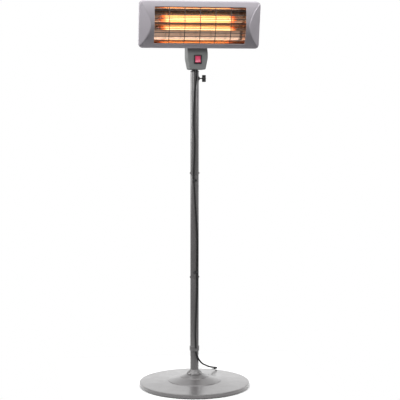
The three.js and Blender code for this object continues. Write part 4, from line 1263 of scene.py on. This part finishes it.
GUARD_BARS = (10.6, 29.6, 46.6, 64.5, 80.5)  # above and below the guard's centre
GUARD_CENTRE = -2.6
GUARD_SPACING = 67.3  # of the uprights
GUARD_HALF_WIDTH = 208
GUARD_HALF_HEIGHT = 86
WIRE_RADIUS = 1.6
GUARD_DEPTH = 6.5  # of the upright wires behind the barrel front


def make_guard():
    wires = []
    for x in [i * GUARD_SPACING for i in range(-2, 3)] + [-GUARD_HALF_WIDTH, GUARD_HALF_WIDTH]:
        heights = [GUARD_HALF_HEIGHT * (-1 + 2 * k / 40) for k in range(41)]
        wires.append(swept("upright", [(x, GUARD_DEPTH - barrel(v), v) for v in heights], WIRE_RADIUS, 12))
    bars = [GUARD_CENTRE + v for bar in GUARD_BARS for v in (bar, -bar)]
    bars += [GUARD_HALF_HEIGHT - 1, 1 - GUARD_HALF_HEIGHT]
    for v in bars:
        y = GUARD_DEPTH - barrel(v) + 1.6 * WIRE_RADIUS
        line = [(x, y, v) for x in (-GUARD_HALF_WIDTH, 0, GUARD_HALF_WIDTH)]
        wires.append(swept("bar", line, WIRE_RADIUS, 12))
    stand_in(moved(joined("guard_wires", *wires), HEAD_PLACE), "wire_guard", angle=50)


def make_tubes():
    inner, end = QUARTZ_RADIUS - 1.1, 216
    glass = [(inner, -end, 0.4), (QUARTZ_RADIUS, -end, 0.4), (QUARTZ_RADIUS, end, 0.4), (inner, end, 0.4)]
    mouth = QUARTZ_RADIUS + GAP
    ceramic = [
        (0, 218, 0.2), (mouth, 218, 0.2), (mouth, 208, 0.3), (9, 208, 0.6), (10, 209.4, 0.8),
        (10, 215, 0.5), (9.1, 215.6, 0.4), (9.1, 218.2, 0.4), (10, 218.8, 0.5), (10, 227, 1.2),
        (6.5, 231, 1), (0, 231),
    ]
    radius, pitch, sides = 4.7, 2.4, 12
    wound = 167  # half length of the winding
    coil = [(-212, 0, 0), (-176, 0, 0), (-170, 0, radius * 0.7)]
    for k in range(int(2 * wound / pitch) * sides + 1):
        angle = 2 * math.pi * k / sides
        coil.append((-wound + pitch * k / sides, radius * math.sin(angle), radius * math.cos(angle)))
    coil += [(170, 0, radius * 0.7), (176, 0, 0), (212, 0, 0)]
    for name, row in (("upper", 1), ("lower", -1)):
        place = HEAD_PLACE @ shift(0, TUBE_DEPTH, row * TUBE_OFFSET)
        node = "quartz_tube_" + name
        stand_in(moved(turned(node + "_glass", glass, segments=64), place @ turn(90, "Y")), node)
        node = "heating_coil_" + name
        stand_in(moved(swept(node + "_wire", coil, 0.55, 6), place), node, angle=80)
        for side, sign in (("left", -1), ("right", 1)):
            node = f"end_cap_{name}_{side}"
            cap = turned(node + "_ceramic", ceramic, segments=56)
            stand_in(moved(cap, place @ turn(90 * sign, "Y")), node)


# ---- cord, its plug and its tie ----
PLUG_RADIUS = 18
PLUG_AXIS = PLUG_RADIUS + GAP  # over the ground
HANK_HEADING = math.degrees(math.atan2(TIE_LINE.y, TIE_LINE.x))


def make_plug():
    start = (HANK_CENTRE.xy.length + SLEEVE_START) / MM
    sleeve_path = [
        (start, 0, PLUG_START.z / MM), (start + 8, 0, 12.6), (start + 18, 0, 16.2),
        (start + 29, 0, PLUG_AXIS),
    ]
    path = smooth_path(sleeve_path, 14)
    radii = []
    for i in range(len(path)):
        t = i / (len(path) - 1)
        ridge = 0.35 if (i // 3) % 2 else 0
        radii.append(4.2 + 1.9 * t - (ridge if 0.1 < t < 0.9 else 0))
    sleeve = swept("sleeve", path, radii, 28)
    heading = turn(HANK_HEADING, "Z")
    body = [
        (0, start + 26, 0), (5.6, start + 26, 0.6), (8, start + 27, 2), (15.5, start + 35, 4),
        (16.8, start + 43, 2), (15.9, start + 44.5, 0.6), (15.9, start + 46.5, 0.6),
        (PLUG_RADIUS - 1, start + 47.5, 0.8), (PLUG_RADIUS, start + 50, 1),
        (PLUG_RADIUS, start + 57.2, 0.8), (0, start + 57.8, 0),
    ]
    lift = shift(0, 0, PLUG_AXIS) @ turn(90, "Y")
    body = moved(turned("plug_moulding", body, soft=0.6, segments=80, steps=4), lift)
    plug = moved(joined("plug_body", sleeve, body), heading)
    plug = dressed(plug, "stand", "black_rubber", "mains_plug")
    pin = [
        (0, start + 56, 0), (2.4, start + 56, 0.1), (2.4, start + 74.5, 1.2), (1.5, start + 76.9, 0.8),
        (0, start + 77, 0),
    ]
    pins = []
    for y in (-9.5, 9.5):
        pins.append(moved(turned("pin", pin, segments=32), shift(0, y, 0) @ lift))
    pins = dressed(moved(joined("plug_pins", *pins), heading), "stand", "zinc_steel")
    return plug, pins


def make_tie():
    """A strap round the hank's waist: two strands side by side on the ground, and one on top."""
    outline = []
    hold = CORD_DIAMETER / MM / 2 + 0.35
    offset = STRAND_OFFSET / MM
    for degrees, first, last in ((225, 135, 270), (315, 270, 405), (90, 20, 160)):
        a = math.radians(degrees)
        centre = Vector((offset * math.cos(a), offset * math.sin(a)))
        if degrees == 90:
            centre = Vector((0, offset * 0.78))
        for k in range(9):
            t = math.radians(first + (last - first) * k / 8)
            outline.append(centre + Vector((math.cos(t), math.sin(t))) * hold)
    outer = [p * (1 + 0.9 / p.length) for p in outline]
    width = 9
    rings = []
    corners = ((-width, outer), (width, outer), (width, outline), (-width, outline), (-width, outer))
    for depth, points in corners:
        rings.append([(p.x, depth, p.y) for p in points])
    strap = lofted("strap", rings, caps=())
    place = Matrix.Translation(HANK_CENTRE) @ turn(HANK_HEADING - 90, "Z")
    return dressed(moved(strap, place), "stand", "black_rubber")


def make_lead():
    cord, path = make_cord()
    cord.data.materials.append(MATERIALS["black_rubber"])
    cord.data.shade_smooth()
    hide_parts("cord_upper", "cord_lower", "cord_hank")
    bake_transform(cord)
    plug, pins = make_plug()
    tie = make_tie()


def dress_hidden():
    """The inner CAD nodes whose shapes are right keep them and get their finishes."""
    sleeves = ("foot_sleeve", "lower_sleeve", "upper_sleeve", "mast_slider")
    for node in ("base_weight", *sleeves, "terminal_block", "tip_switch"):
        obj = frame["nodes"][node]
        obj.data.materials.clear()
        obj.data.materials.append(MATERIALS[SLOT_OF[node]])


# ---- studio ----
SIDE_LIGHT = 0.5
BACKDROP_LIGHT = 0.72
LOW_SHARE = 0.04  # of the light that comes from under the horizon
FLOOR_HALF = 0.6
# Each area light: its name, its place, what it points at, its width and height, and its power.
AREA_LIGHTS = (
    ("front_box", (0.15, -1.9, 2.9), (0, 0, 1.3), (2.0, 0.9), 7),
    ("left_front", (-1.9, -1.5, 1.9), (0, 0, 1.5), (1.1, 0.9), 15),
    ("right_front", (2.0, -1.7, 1.8), (0, 0, 1.2), (0.9, 0.9), 14),
    ("left_strip", (-2.2, 0.6, 1.5), (0, 0, 1.3), (0.9, 1.2), 20),
    ("right_strip", (2.2, 1.0, 1.3), (0, 0, 1.1), (0.9, 1.6), 9),
)
SUN_STRENGTH = 2.6
SUN_SPREAD = math.radians(75)


def make_floor():
    corners = [(x * FLOOR_HALF, y * FLOOR_HALF, 0) for x, y in ((-1, -1), (1, -1), (1, 1), (-1, 1))]
    floor = new_piece("floor", corners, [(0, 1, 2, 3)], scale=1)
    material = bpy.data.materials.new("floor")
    material.use_nodes = True
    shader = material.node_tree.nodes["Principled BSDF"]
    shader.inputs["Base Color"].default_value = (0.78, 0.78, 0.78, 1)
    shader.inputs["Roughness"].default_value = 0.9
    floor.data.materials.append(material)


def area_light(name, place, target, size, energy):
    data = bpy.data.lights.new(name, "AREA")
    data.shape = "RECTANGLE"
    data.size, data.size_y = size
    data.energy = energy
    light = bpy.data.objects.new(name, data)
    light.location = place
    light.rotation_mode = "QUATERNION"
    light.rotation_quaternion = (Vector(target) - Vector(place)).to_track_quat("-Z", "Y")
    light.visible_camera = False
    bpy.context.scene.collection.objects.link(light)


def light_studio():
    """A pale studio: a bright backdrop, dimmer sides, soft boxes round the heater and a broad top light."""
    world = bpy.data.worlds.new("studio")
    bpy.context.scene.world = world
    world.use_nodes = True
    tree = world.node_tree
    around = tree.nodes["Background"]
    place = tree.nodes.new("ShaderNodeTexCoord")
    split = tree.nodes.new("ShaderNodeSeparateXYZ")
    tree.links.new(place.outputs["Generated"], split.inputs["Vector"])

    def ramp(axis, start, stop, low, high):
        made = tree.nodes.new("ShaderNodeMapRange")
        for name, value in (("From Min", start), ("From Max", stop), ("To Min", low), ("To Max", high)):
            made.inputs[name].default_value = value
        tree.links.new(split.outputs[axis], made.inputs["Value"])
        return made.outputs["Result"]

    def combined(operation, first, second):
        made = tree.nodes.new("ShaderNodeMath")
        made.operation = operation
        tree.links.new(first, made.inputs[0])
        tree.links.new(second, made.inputs[1])
        return made.outputs["Value"]

    behind = combined("MULTIPLY", ramp("Y", 0.6, 0.9, 0, BACKDROP_LIGHT), ramp("Z", -0.07, 0.04, 0, 1))
    strength = combined("ADD", ramp("Z", -0.8, 0.1, SIDE_LIGHT * LOW_SHARE, SIDE_LIGHT), behind)
    tree.links.new(strength, around.inputs["Strength"])
    around.inputs["Color"].default_value = (1, 1, 1, 1)
    seen = tree.nodes.new("ShaderNodeBackground")
    seen.inputs["Color"].default_value = (1, 1, 1, 1)
    path = tree.nodes.new("ShaderNodeLightPath")
    mix = tree.nodes.new("ShaderNodeMixShader")
    tree.links.new(path.outputs["Is Camera Ray"], mix.inputs["Fac"])
    tree.links.new(around.outputs["Background"], mix.inputs[1])
    tree.links.new(seen.outputs["Background"], mix.inputs[2])
    tree.links.new(mix.outputs["Shader"], tree.nodes["World Output"].inputs["Surface"])
    for light in AREA_LIGHTS:
        area_light(*light)
    sun = bpy.data.lights.new("top_light", "SUN")
    sun.energy = SUN_STRENGTH
    sun.angle = SUN_SPREAD
    top = bpy.data.objects.new("top_light", sun)
    top.rotation_euler = (math.radians(4), math.radians(-6), 0)
    bpy.context.scene.collection.objects.link(top)
    bpy.context.scene.view_settings.view_transform = "Standard"


make_base()
make_post()
make_seam_screws()
make_clips()
make_band()
make_mast()
make_clamp()
make_box()
make_switch()
strain_relief = make_gland()
make_hinge()
make_bezel()
make_housing()
make_reflector()
make_guard()
make_tubes()
make_lead()
dress_hidden()
make_floor()
light_studio()
